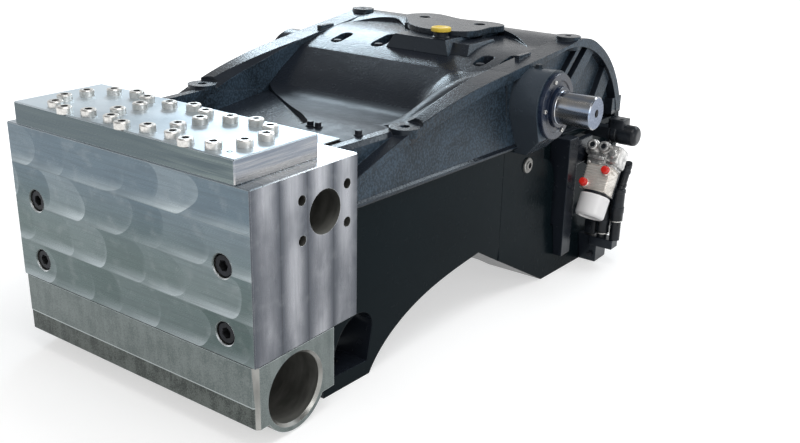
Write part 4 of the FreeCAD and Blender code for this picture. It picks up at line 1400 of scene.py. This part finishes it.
@dataclass
class ValveEnd(Section):
    """Valve block, cover plate, suction manifold and their screws."""

    cover_screw: ScrewSet = ScrewSet("cover_screws", Axis.UP, 20.0, 15.5, 14.0, 2.0, 8.2, 5.0)
    front_screw: ScrewSet = ScrewSet("front_screws", Axis.FRONT, 30.0, 22.5, 30.0, 2.5, 12.0, 15.0,
                                     washer=24.4)
    skin_depth: float = 6.0
    lip_slope: tuple[float, float] = (0.3, 0.95)
    counterbore_r: float = 25.0
    rim_w: float = 1.8
    rim_out: float = 0.8
    rim_proud: float = 0.25
    jack_x: float = 276.0
    jack_y: float = 30.0
    jack_r: float = 5.5
    jack_sides: int = 32

    def build(self) -> None:
        """Dress the valve end."""
        self.bores()
        self.cover_screw.build(self.yard)
        self.rims(self.front_screw.build(self.yard))
        self.jack()

    def bores(self) -> None:
        """Dress the block and manifold, with painted shade inside their bores and bright at the
        mouth.
        """
        skin = self.skin_depth * MM
        for node in ("valve_block", "suction_manifold"):
            piece = Skin(node).build(self.yard)
            low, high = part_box(node)
            # painted shade on the faces inside the bores
            self.yard.repaint(piece, Extra.SHADED_BORE, lambda face: all(
                a + skin < c < b - skin for a, b, c in zip(low, high, face.center)))
            if node == "suction_manifold":
                flat, steep = self.lip_slope
                self.yard.repaint(piece, Extra.BORE_LIP, lambda face: (
                    face.center.x > high.x - skin and flat < face.normal.x < steep))

    def rims(self, heads: Sequence[Vector]) -> None:
        """Set a bright chamfer in the mouth of each counterbore.

        Args:
            heads: The middles of the screws in the counterbores.
        """
        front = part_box("valve_block")[0].y
        work = bmesh.new()
        r, w, out, proud = self.counterbore_r, self.rim_w, self.rim_out, self.rim_proud
        profile = [(r - w, -w - 1.0), (r + out, -1.0), (r + out, proud), (r + out / 2, proud),
                   (r - w, -w)]
        for p in heads:
            join(work, ring(profile), seat(Vector((p.x, front, p.z)), "-Y"))
        piece = finished(work, "counterbore_rims", self.yard.paints[Extra.COUNTERBORE])
        self.yard.dress(piece, "valve_block", replaces=False)

    def jack(self) -> None:
        """Set a small plug in the cover plate's forcing hole."""
        r = self.jack_r
        plug = turned([(0, -1.0), (r, -1.0), (r, 0.3), (r * 0.55, 0.3), (r * 0.5, -0.6),
                       (0, -0.6)], self.jack_sides)
        spot = side_middle("cover_plate", "+Z")
        spot.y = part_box("cover_plate")[0].y
        place = seat(spot + metres(self.jack_x, self.jack_y, 0))
        self.yard.place(placed(plug, place), "forcing_hole_plug", "cover_plate", False,
                        "black_steel")


@dataclass
class Casing(Section):
    """Castings of the crankcase and gear end, with their bolts."""

    nodes: tuple[str, ...] = ("crankcase", "hood", "gear_housing", "gear_top", "bearing_boss",
                              "left_bearing_boss", "inspection_cover", "lifting_flange")
    split_bolt: ScrewSet = ScrewSet("split_bolts", Axis.UP, 17.0, 13.0, 17.0, 2.0, sides=6,
                                    washer=15.0)
    deck_bolt: ScrewSet = ScrewSet("deck_bolts", Axis.UP, 11.0, 8.0, 11.0, 1.2, sides=6,
                                   washer=10.0)
    ridge_z: float = 400.0
    trough_y: float = 0.0
    boss_end: float = 0.9

    def build(self) -> None:
        """Dress the castings and their bolts."""
        pieces = {node: Skin(node).build(self.yard) for node in self.nodes}
        # painted light on the boss's flanks; faces turned to +x keep the main paint
        self.yard.repaint(pieces["bearing_boss"], Extra.LIT_BOSS,
                          lambda face: face.normal.x < self.boss_end)
        self.yard.repaint(pieces["hood"], Extra.TROUGH,
                          lambda face: face.center.y < self.trough_y * MM)
        # painted shade on the side walls below the ridge
        for node in ("crankcase", "gear_housing"):
            self.yard.repaint(pieces[node], Extra.SHADED_LOW_WALL, self.on_low_wall)
        for bolts in (self.split_bolt, self.deck_bolt):
            bolts.build(self.yard)

    def on_low_wall(self, face: bpy.types.MeshPolygon) -> bool:
        """Return whether a face is on a side wall below the ridge."""
        return face.center.z < self.ridge_z * MM and abs(face.normal.x) > STEEP


@dataclass
class ShaftEnd(Section):
    """Input shaft, seal ring, blind cover and the plug on the boss."""

    seal_screw: ScrewSet = ScrewSet("seal_screws", Axis.RIGHT, 5.0, 5.0, 4.0, 0.8, 2.4, 2.6,
                                    side=1, label="right")
    sides: int = 96
    chamfer: float = 1.5
    seal_r: float = 81.0
    seal_bore_r: float = 50.3
    seal_t: float = 12.0
    groove: tuple[tuple[float, float], ...] = ((64.0, 0.0), (62.0, -2.5), (54.0, -2.5))
    cover_dish_r: float = 50.0
    cover_dish: float = 2.0
    shaft_r: float = 40.0
    shaft_chamfer: float = 3.0
    collar_r: float = 49.9
    collar_l: float = 22.0
    collar_gap: float = 0.5
    centre_r: float = 7.0
    centre_depth: float = 28.0
    centre_mouth: float = 3.0
    paint_reach: float = 2.5
    thread: tuple[float, float, float] = (0.4, -9.0, -8.0)
    plug_r: float = 9.0
    plug_h: float = 7.0
    plug_inset: float = 48.0

    def build(self) -> None:
        """Dress the shaft end."""
        right = side_middle("seal_ring", "-X")
        r, t, c = self.seal_r, self.seal_t, self.chamfer
        rim = [(r, 0), (r, t - c), (r - c, t)]
        profile = [(self.seal_bore_r, 0), *rim, *((a, t + b) for a, b in self.groove),
                   (self.seal_bore_r, t - 0.5)]
        self.yard.place(placed(ring(profile, self.sides), seat(right, "+X")), "seal_ring_turned",
                        "seal_ring")
        left = Vector((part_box("left_bearing_cover")[1].x, right.y, right.z))
        dish, deep = self.cover_dish_r, self.cover_dish
        cover = turned([(0, 0), *rim, (dish, t), (dish - deep, t - deep), (0, t - deep)],
                       self.sides)
        self.yard.place(placed(cover, seat(left, "-X")), "left_bearing_cover_turned",
                        "left_bearing_cover")
        self.seal_screw.build(self.yard)
        replace(self.seal_screw, axis=Axis.LEFT, side=-1, label="left").build(self.yard)
        self.shaft()
        self.boss_plug()

    def shaft(self) -> None:
        """Turn the shaft with its collar, chamfer, centre hole and thread relief."""
        start, end = (side_middle("input_shaft", side) for side in ("-X", "+X"))
        length = (end.x - start.x) / MM
        inner = (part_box("seal_ring")[0].x - start.x) / MM + self.collar_gap
        outer = inner + self.collar_l
        r, b, c, m = self.shaft_r, self.collar_r, self.chamfer, self.centre_r
        profile = [(0, 0), (r, 0), (r, inner), (b, inner), (b, outer - c), (b - c, outer),
                   (r + c, outer), (r, outer + c), (r, length - self.shaft_chamfer),
                   (r - self.shaft_chamfer, length), (m + self.centre_mouth, length),
                   (m, length - 4), (m, length - self.centre_depth),
                   (0, length - self.centre_depth - 3)]
        piece = self.yard.place(placed(turned(profile, self.sides), seat(start, "+X")),
                                "input_shaft_turned", "input_shaft")

        def reach(face: bpy.types.MeshPolygon) -> float:
            """Return a face's distance from the shaft's middle line, in millimetres."""
            return math.hypot(face.center.y - end.y, face.center.z - end.z) / MM

        # painted shade on the shaft's end face
        self.yard.repaint(piece, Extra.SHADED_END_FACE, lambda face: face.center.x > end.x - MM)
        self.yard.repaint(piece, "blue_ring", lambda face: reach(face) > r + self.paint_reach)
        # painted shade inside the centre hole
        self.yard.repaint(piece, Extra.SHADED_SOCKET, lambda face: (
            reach(face) < m + self.paint_reach and face.center.x > start.x + 10 * MM))
        gap, low, high = self.thread
        thread = turned([(0, low), (m - gap, low), (m - gap, high), (0, high)], 24)
        self.yard.place(placed(thread, seat(end, "+X")), "centre_hole_thread", "input_shaft",
                        False, "black_steel")

    def boss_plug(self) -> None:
        """Set a hexagon plug on the crown of the bearing boss."""
        r, h, c = self.plug_r, self.plug_h, self.chamfer
        plug = turned([(0, -2), (r + 3, -2), (r + 3, 2), (r, 2), (r, h), (r - c, h + c),
                       (0, h + c)], 6)
        spot = side_middle("bearing_boss", "+Z")
        spot.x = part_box("bearing_boss")[1].x - self.plug_inset * MM
        self.yard.place(placed(plug, seat(spot)), "boss_plug", "bearing_boss", False, crease=20.0)


@dataclass
class Breather(Section):
    """Breather neck and cap on the inspection cover."""

    neck_r: float = 22.0
    neck_h: float = 19.0
    foot_h: float = 4.0
    cap_r: float = 26.0
    cap_h: float = 10.0
    cap_round: float = 3.0
    flutes: int = 24
    flute_depth: float = 1.2
    cap_crease: float = 50.0

    def build(self) -> None:
        """Dress the breather."""
        foot = side_middle("breather_neck", "-Z")
        r, h, f = self.neck_r, self.neck_h, self.foot_h
        neck = turned([(0, 0), (r, 0), (r, f), (r - 1.5, f + 1.5), (r - 3, f + 2), (r - 3, h - 3),
                       (r - 1, h - 1.5), (r - 1, h), (0, h)])
        self.yard.place(placed(neck, seat(foot)), "breather_neck_turned", "breather_neck")
        self.yard.place(placed(self.cap(), seat(foot + metres(0, 0, h))), "breather_cap_fluted",
                        "breather_cap", crease=self.cap_crease)

    def cap(self) -> Work:
        """Return the cap with its dished top and fluted rim.

        Returns:
            The mesh in work.
        """
        r, h, c = self.cap_r, self.cap_h, self.cap_round
        cap = turned([(0, 0), (r, 0), *arc((r - c, h - c), c, 0, 90), (r * 0.6, h),
                      (r * 0.55, h - 0.8), (0, h - 0.8)], 2 * self.flutes)
        for vertex in cap.verts:
            turn = round(math.atan2(vertex.co.y, vertex.co.x) / (math.pi / self.flutes))
            if vertex.co.xy.length / MM > r - 1 and turn % 2:
                vertex.co.xy *= (r - self.flute_depth) / r
        return cap


@dataclass
class OilUnit(Section):
    """Pump, cooler and filter that hang together, leaning, on axes of their own."""

    origin: Place = (-0.048, 0.476, 0.304)
    lean: float = -30.0
    pump_blocks: tuple[Block, ...] = (
        ((409, 5, 6), (466, 61, 56), 6), ((414, 2, 0), (492, 61, 7), 1.5),
        ((404, 8, 26), (470, 44, 50), 7), ((464, 1, 6), (500.5, 61, 62), 8),
        ((468, -2, 12), (497, 4, 56), 2), ((412, -1, 14), (460, 6, 24), 2.5),
    )
    lug: Place = (408.0, 8.0, 38.0)
    lug_profile: Profile = ((0, 0), (9, 0), *arc((9, 3), 3, -90, 0, 3), *arc((9, 43), 3, 0, 90, 3),
                            (0, 46))
    ports: Profile = ((420.0, 49.0), (452.0, 49.0))
    port_profile: Profile = ((0, 0), (15, 0), (15, 14), *arc((11, 16), 4, 0, 90, 4), (8.2, 20),
                             (7.2, 18.5), (7.2, 6), (0, 6))
    collar_profile: Profile = ((0, 0), (18, 0), *arc((16, 4), 2, 0, 90, 3), (0, 6))
    port_plug_profile: Profile = ((0, 0), (7.1, 0), (7.1, 1), (0, 1))
    dome: Place = (482.0, -2.0, 36.0)
    dome_profile: Profile = ((0, 0), (12, 0), (12, 3), *arc((8, 3), 4, 0, 90, 4), (0, 7))
    screws: Profile = ((471.5, 16), (493.5, 16), (471.5, 52), (493.5, 52), (420, 3.5), (452, 3.5),
                       (486, 3.5))
    screw_profile: Profile = ((0, 0), (3.2, 0), (3.2, 3.4), (2.6, 4), (1.6, 4), (1.6, 2), (0, 2))
    cooler: tuple[float, float, float, float] = (416.0, 490.0, 62.0, 71.0)
    plates: int = 9
    plate_t: float = 0.8
    end_t: float = 2.4
    caps: Profile = ((475.0, -12.0), (425.0, -55.0))
    cap_boss_profile: Profile = ((0, 0), (12.5, 0), (12.5, 1.5), (10, 3.5), (0, 3.5))
    cap_profile: Profile = ((0, 2), (11.4, 2), (11.4, 4.5), (10, 5.2),
                            *arc((6.6, 12.2), 3.6, 0, 90, 4), (0, 15.8))
    filter_x: float = 455.0
    filter_r: float = 40.5
    filter_h: float = 60.0
    neck_h: float = 9.0
    neck_profile: Profile = ((0, 0), (30, 0), (30, 4), (34, 5), (34, 9), (0, 9))

    def at(self, x: float, depth: float, height: float, axis: str = "-Y") -> Matrix:
        """Return a place on the unit's own axes."""
        return seat(metres(x, depth, height), axis)

    def hang(self, work: Work, name: str, node: str, replaces: bool = True,
             slot: str | None = None) -> bpy.types.Object:
        """Finish a mesh in work where the unit hangs.

        Args:
            work: The mesh on the unit's own axes.
            name: The piece's name.
            node: The node that it belongs to.
            replaces: Whether it stands for the node.
            slot: Another slot's finish for it; the node's own if None.

        Returns:
            The piece.
        """
        turn = Matrix.Rotation(math.radians(self.lean), 4, "X")
        place = Matrix.Translation(self.origin) @ turn
        return self.yard.place(placed(work, place), name, node, replaces, slot)

    def build(self) -> None:
        """Dress the oil unit."""
        self.pump()
        self.cooler_stack()
        self.filter()
        self.red_caps()

    def pump(self) -> None:
        """Cast the pump body with its lug, ports, end cover and screws."""
        body, plugs, screws = bmesh.new(), bmesh.new(), bmesh.new()
        for block in self.pump_blocks:
            join(body, rounded_box(*block))
        join(body, turned(self.lug_profile, 32), self.at(*self.lug, "+Y"))
        join(body, turned(self.dome_profile, 32), self.at(*self.dome))
        for x, z in self.ports:
            for profile in (self.port_profile, self.collar_profile):
                join(body, turned(profile, 40), self.at(x, 6, z))
            join(plugs, turned(self.port_plug_profile, 32), self.at(x, -9, z))
        for x, z in self.screws:
            join(screws, turned(self.screw_profile, 16), self.at(x, -2 if z > 10 else 2, z))
        self.hang(body, "oil_pump_cast", "oil_pump")
        self.hang(plugs, "oil_port_plugs", "oil_pump", False, "black_plastic")
        self.hang(screws, "oil_pump_screws", "oil_pump", False, "screw_steel")

    def cooler_stack(self) -> None:
        """Stack the cooler's pressed plates between its end plates."""
        x0, x1, depth, h = self.cooler
        work = rounded_box((x0 + 0.6, 0.6, 1 - h), (x1 - 0.6, depth - 0.6, -1), 5, 4)
        half = self.plate_t / 2
        for k in range(self.plates + 1):
            z = 2 - h + k * (h - 4) / self.plates
            join(work, rounded_box((x0 + 0.5, 0.5, z - half), (x1 - 0.5, depth - 0.5, z + half),
                                   0.2, 2))
        for z in (-h, -self.end_t):
            join(work, rounded_box((x0, 0, z), (x1, depth, z + self.end_t), 0.8, 2))
        join(work, rounded_box((x1 - 16, 4, -15), (x1 + 4, 30, -9), 1.5))
        for x, z in self.caps:
            join(work, turned(self.cap_boss_profile, 32), self.at(x, 0.5, z))
        piece = self.hang(work, "oil_cooler_plates", "oil_cooler")
        piece.data.materials.clear()
        piece.data.materials.append(self.yard.paints[Extra.COOLER])

    def red_caps(self) -> None:
        """Put the red caps on the cooler's open ports."""
        work = bmesh.new()
        for x, z in self.caps:
            join(work, turned(self.cap_profile, 40), self.at(x, 0, z))
        self.hang(work, "cooler_caps_moulded", "cooler_caps")

    def filter(self) -> None:
        """Turn the filter can with its collar and rounded foot."""
        depth, h = self.cooler[2:]
        r, tall = self.filter_r, self.filter_h
        can = [(0, 3), (r - 12, 3), (r - 12.5, 0), (r - 10.5, 0), *arc((r - 9, 8), 8, -80, 0, 7),
               (r - 0.6, 20), (r - 0.2, tall - 9), (r, tall - 8), (r, tall - 2), (r - 1.5, tall),
               (0, tall)]
        top = -h - self.neck_h
        foot, shoulder = (self.at(self.filter_x, depth / 2, z, "+Z") for z in (top - tall, top))
        self.hang(placed(turned(can, 72), foot), "oil_filter_can", "oil_filter")
        self.hang(placed(turned(self.neck_profile, 48), shoulder), "oil_filter_neck",
                  "oil_filter", False, "black_plastic")


@dataclass
class RearPieces(Section):
    """Canisters, hose, small cylinder, bracket and foot at the gear end."""

    shift: tuple[float, float] = (-48.0, -730.0)
    can_y: float = 1278.0
    near: tuple[float, float, float, float] = (448.0, 21.5, 90.0, 226.0)
    far: tuple[float, float, float, float] = (486.0, 19.0, 133.0, 226.0)
    floor_h: float = 76.0
    stem_r: float = 14.5
    rim_drop: float = 1.5
    clamp: Block = ((398.0, 1264.0, 80.0), (432.0, 1284.0, 120.0), 4.0)
    eye_profile: Profile = ((0, 0), (11, 0), (11, 2), (6, 2), (6, 5), (0, 5))
    hose_r: float = 13.0
    hose_l: float = 88.0
    hose_sink: float = 14.0
    hose_lean: float = 30.0
    hose_steps: tuple[float, ...] = (0.0, 0.25, 0.5, 0.75)
    hose_end: Profile = ((1, -6), (3, 0))
    hose_clamps: tuple[float, ...] = (0.28, 0.72)
    clamp_h: float = 5.0
    valve: tuple[float, float, float, float, float] = (432.0, 511.0, 1312.0, 369.0, 28.0)
    valve_dome: float = 14.0
    valve_blocks: tuple[Block, ...] = (((-2, -22, 0), (42, 24, 42), 3),
                                       ((6, -16, 40), (20, 4, 42.2), 1))
    valve_plug: Place = (30.0, -8.0, 34.5)
    valve_plug_profile: Profile = ((0, 0), (7, 0), (7, 6), (5.5, 7.5), (0, 7.5))
    arm_end: float = 4.0
    brackets: tuple[Skin, ...] = (Skin("unit_foot", 2.0), Skin("unit_bracket", 2.0))
    foot_x: float = 425.0
    foot_z: float = 22.0
    foot_bolt_profile: Profile = ((0, 0), (9, 0), (9, 1.5), (7, 1.5), (7, 6), (6, 7), (0, 7))
    washer_r: float = 20.0
    washer_drop: float = 3.0
    head_drop: float = 9.0
    socket_r: float = 7.5

    def spot(self, x: float, y: float, z: float) -> Vector:
        """Return a drawing place in the frame's metres."""
        return metres(x + self.shift[0], y + self.shift[1], z)

    def build(self) -> None:
        """Dress the pieces round the oil unit."""
        self.canisters()
        self.small_cylinder()
        for skin in self.brackets:
            skin.build(self.yard)
        self.foot_bolt()
        self.wall_bolt()

    def can(self, radius: float, height: float, foot: float) -> Work:
        """Return a canister with its stem and bands.

        Args:
            radius: Its radius.
            height: Its height.
            foot: Where its stem ends, below its own bottom.

        Returns:
            The mesh in work.
        """
        r, h, stem = radius, height, self.stem_r
        return turned([(0, foot), (stem, foot), (stem, 1), (r - 3, 1), (r - 1.2, 3), (r - 1.2, 22),
                       (r, 24), (r, 40), (r - 1.5, 42), (r - 1.5, h - 12), (r, h - 10),
                       *arc((r - 5, h - 5), 5, 0, 90, 4), (0, h)], 48)

    def canisters(self) -> None:
        """Turn both canisters with their bands, and set the clamp and the hose."""
        work, rims = bmesh.new(), bmesh.new()
        for x, r, z0, z1 in (self.near, self.far):
            join(work, self.can(r, z1 - z0, self.floor_h - z0), seat(self.spot(x, self.can_y, z0)))
            rim = [(0, 0), (r - 2, 0), *arc((r - 1.6, 1.6), 1.6, -90, 90, 4), (r - 2, 3.4),
                   (0, 3.4)]
            join(rims, turned(rim, 48), seat(self.spot(x, self.can_y, z0 - self.rim_drop)))
        join(work, rounded_box(*self.clamp), seat(self.spot(0, 0, 0)))
        low, high, _ = self.clamp
        eye = self.spot((low[0] + high[0]) / 2, low[1], (low[2] + high[2]) / 2)
        join(work, turned(self.eye_profile, 32), seat(eye, "-Y"))
        self.hose(work)
        self.yard.place(work, "filter_housing_cans", "filter_housing")
        self.yard.place(rims, "filter_housing_rims", "filter_housing", False, "screw_steel")

    def hose(self, work: Work) -> None:
        """Lay the hose that leaves the far canister, with its two clamps.

        Args:
            work: The mesh that it is added to.
        """
        x, _, _, z1 = self.far
        lean = math.radians(self.hose_lean)
        start = self.spot(x, self.can_y, z1 - self.hose_sink)
        way = Vector((0, math.sin(lean), math.cos(lean)))
        whole = way * self.hose_l * MM
        points = [start + whole * t for t in self.hose_steps]
        points += [start + whole + metres(0, -back, rise) for back, rise in self.hose_end]
        join(work, tube(points, self.hose_r * MM, 28))
        r, h = self.hose_r + 0.6, self.clamp_h
        profile = [(0, -h), (r, -h), (r + 1, 1 - h), (r + 1, h - 1), (r, h), (0, h)]
        turn = Vector((0, 0, 1)).rotation_difference(way).to_matrix().to_4x4()
        for t in self.hose_clamps:
            join(work, turned(profile, 40), Matrix.Translation(start + whole * t) @ turn)

    def small_cylinder(self) -> None:
        """Turn the small domed cylinder, and set its block, cap and arm."""
        x0, x1, y, z, r = self.valve
        length, dome, origin = x1 - x0, self.valve_dome, self.spot(x0, y, z)
        body = [(0, 0), (r - 4, 0), (r - 4, 6), (r, 8), (r, 20), (r - 1.5, 21.5), (r - 1.5, 27),
                (r, 28.5), *arc((r - dome, length - dome), dome, 0, 90, 8), (0, length)]
        work = placed(turned(body), seat(origin, "+X"))
        for block in self.valve_blocks:
            join(work, rounded_box(*block), seat(origin))
        arm = merged(self.yard.node("rear_valve"))
        bmesh.ops.bisect_plane(arm, geom=arm.verts[:] + arm.edges[:] + arm.faces[:],
                               plane_co=(origin.x + self.arm_end * MM, 0, 0), plane_no=(1, 0, 0),
                               clear_outer=True)
        bmesh.ops.holes_fill(arm, edges=[e for e in arm.edges if e.is_boundary], sides=0)
        join(work, arm)
        join(work, turned(self.valve_plug_profile, 6), seat(origin + metres(*self.valve_plug)))
        self.yard.place(work, "rear_valve_turned", "rear_valve")

    def foot_bolt(self) -> None:
        """Bolt the foot bracket down at its toe."""
        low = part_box("unit_foot")[0]
        spot = Vector((self.spot(self.foot_x, 0, 0).x, low.y, low.z + self.foot_z * MM))
        bolt = placed(turned(self.foot_bolt_profile, 6), seat(spot, "-Y"))
        self.yard.place(bolt, "foot_bracket_bolt", "unit_foot", False, "black_steel", crease=20.0)

    def wall_bolt(self) -> None:
        """Set the socket screw and its pale washer in the side wall."""
        foot = side_middle("wall_bolt", "-X")
        top = (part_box("wall_bolt")[1].x - foot.x) / MM - self.head_drop
        r, flat = self.washer_r, top - self.washer_drop
        head = turned([(0, 0), (r, 0), (r, flat - 1.5), (r - 1.5, flat), (12.5, flat),
                       (12.5, top - 1), (11.5, top), (self.socket_r, top),
                       (self.socket_r - 0.5, top - 5), (0, top - 5)], 48)
        piece = self.yard.place(placed(head, seat(foot, "+X")), "wall_bolt_turned", "wall_bolt")
        self.yard.repaint(piece, Extra.WASHER, lambda face: True)
        floor = foot.x + (flat - 3.0) * MM
        # painted shade inside the socket
        self.yard.repaint(piece, Extra.SHADED_SOCKET, lambda face: face.center.x > floor and math.hypot(
            face.center.y - foot.y, face.center.z - foot.z) < (self.socket_r + 0.1) * MM)


@dataclass(frozen=True)
class SoftBox:
    """A rectangular lamp."""

    name: str
    spot: Place
    aim: Place
    size: tuple[float, float]
    power: float
    colour: Colour = WHITE

    def build(self) -> None:
        """Add the lamp."""
        data = bpy.data.lights.new(self.name, "AREA")
        data.shape = "RECTANGLE"
        data.size, data.size_y = self.size
        data.energy = self.power
        data.color = self.colour
        lamp = linked(self.name, data)
        lamp.location = self.spot
        back = Vector(self.spot) - Vector(self.aim)
        lamp.rotation_euler = back.to_track_quat("Z", "Y").to_euler()


@dataclass
class Studio:
    """Floor, light and the camera of the photograph. Lengths are in metres."""

    azimuth: float = 34.95
    elevation: float = 20.37
    roll: float = 1.59
    offset: Place = (1.461, -1.105, 0.534)
    lens: float = 43.35
    sensor: float = 36.0
    shift: tuple[float, float] = (-0.0154, -0.0061)
    clip: tuple[float, float] = (0.05, 60.0)
    light: float = 0.5
    ceiling: float = 0.3
    ceiling_from: tuple[float, float] = (0.36, 0.62)
    floor_size: float = 40.0
    floor_drop: float = 0.0005
    floor_colour: Colour = (0.6, 0.6, 0.6)
    floor_roughness: float = 0.9
    floor_glow: float = 0.55
    fade: tuple[float, float] = (0.9, 2.2)
    lamps: tuple[SoftBox, ...] = (
        SoftBox("window", (-1.85, 1.77, 1.75), (0.0, 0.2, 0.55), (0.9, 0.7), 20.0,
                (0.74, 0.89, 1.0)),
        SoftBox("overhead", (0.8, -0.6, 3.2), (0.0, 0.0, 0.4), (1.8, 1.8), 34.0),
        SoftBox("far_side", (1.2, 3.0, 2.6), (0.1, 0.1, 0.5), (2.0, 0.7), 36.0,
                (0.88, 0.95, 1.0)),
        SoftBox("right", (3.0, -0.9, 1.4), (0.0, 0.0, 0.3), (1.2, 1.6), 15.0),
    )

    def camera(self) -> None:
        """Place the camera at the photograph's viewing point."""
        a, e, r = (math.radians(v) for v in (self.azimuth, self.elevation, self.roll))
        back = Vector((math.sin(a) * math.cos(e), -math.cos(a) * math.cos(e), math.sin(e)))
        right = Vector((0, 0, 1)).cross(back).normalized()
        up = back.cross(right)
        axes = (math.cos(r) * right + math.sin(r) * up, math.cos(r) * up - math.sin(r) * right,
                back)
        data = bpy.data.cameras.new("view")
        data.lens = self.lens
        data.sensor_width = self.sensor
        data.shift_x, data.shift_y = self.shift
        data.clip_start, data.clip_end = self.clip
        low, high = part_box("valve_block")
        corner = Vector(((low.x + high.x) / 2, low.y, high.z))
        camera = linked("view", data)
        camera.matrix_world = (Matrix.Translation(corner + Vector(self.offset))
                               @ Matrix(axes).transposed().to_4x4())
        bpy.context.scene.camera = camera

    def world(self) -> None:
        """Light the scene evenly, with a white background below a darker ceiling."""
        world = bpy.data.worlds.new("studio")
        world.use_nodes = True
        tree = Graph(world.node_tree)
        height = tree.split(tree.node("ShaderNodeTexCoord", out="Generated"))[2]
        seen = tree.node("ShaderNodeMapRange", height, *self.ceiling_from, 1.0, self.ceiling)
        power = tree.node("ShaderNodeMapRange", tree.seen_directly(), 0.0, 1.0, self.light, seen)
        tree.feed(tree.tree.nodes["Background"], Color=WHITE, Strength=power)
        bpy.context.scene.world = world

    def floor(self) -> None:
        """Lay a pale floor that keeps the object's shadow."""
        bpy.ops.mesh.primitive_plane_add(size=self.floor_size, location=(0, 0, -self.floor_drop))
        floor = bpy.context.object
        floor.name = "floor"
        s = Shader("floor")
        reach = s.node("ShaderNodeVectorMath", s.place, out="Value",
                       setup={"operation": "LENGTH"})
        glow = s.node("ShaderNodeMapRange", reach, *self.fade, self.floor_glow, 1.0)
        s.set(Base_Color=self.floor_colour, Roughness=self.floor_roughness,
              Specular_IOR_Level=0.0, Emission_Color=WHITE,
              Emission_Strength=s.seen_directly() * glow)
        floor.data.materials.append(s.material)

    def build(self) -> None:
        """Set up camera, lamps, world and floor."""
        self.camera()
        self.world()
        self.floor()
        for lamp in self.lamps:
            lamp.build()
        bpy.context.scene.view_settings.view_transform = "Standard"


def main() -> None:
    """Build the scene piece by piece."""
    logging.basicConfig(level=logging.INFO, format="%(message)s")
    yard = Yard()
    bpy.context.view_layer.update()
    Studio().build()
    yard.paint_plain_nodes()
    for section in (ValveEnd, Casing, ShaftEnd, Breather, OilUnit, RearPieces):
        section(yard).build()


if __name__ == "__main__":
    main()
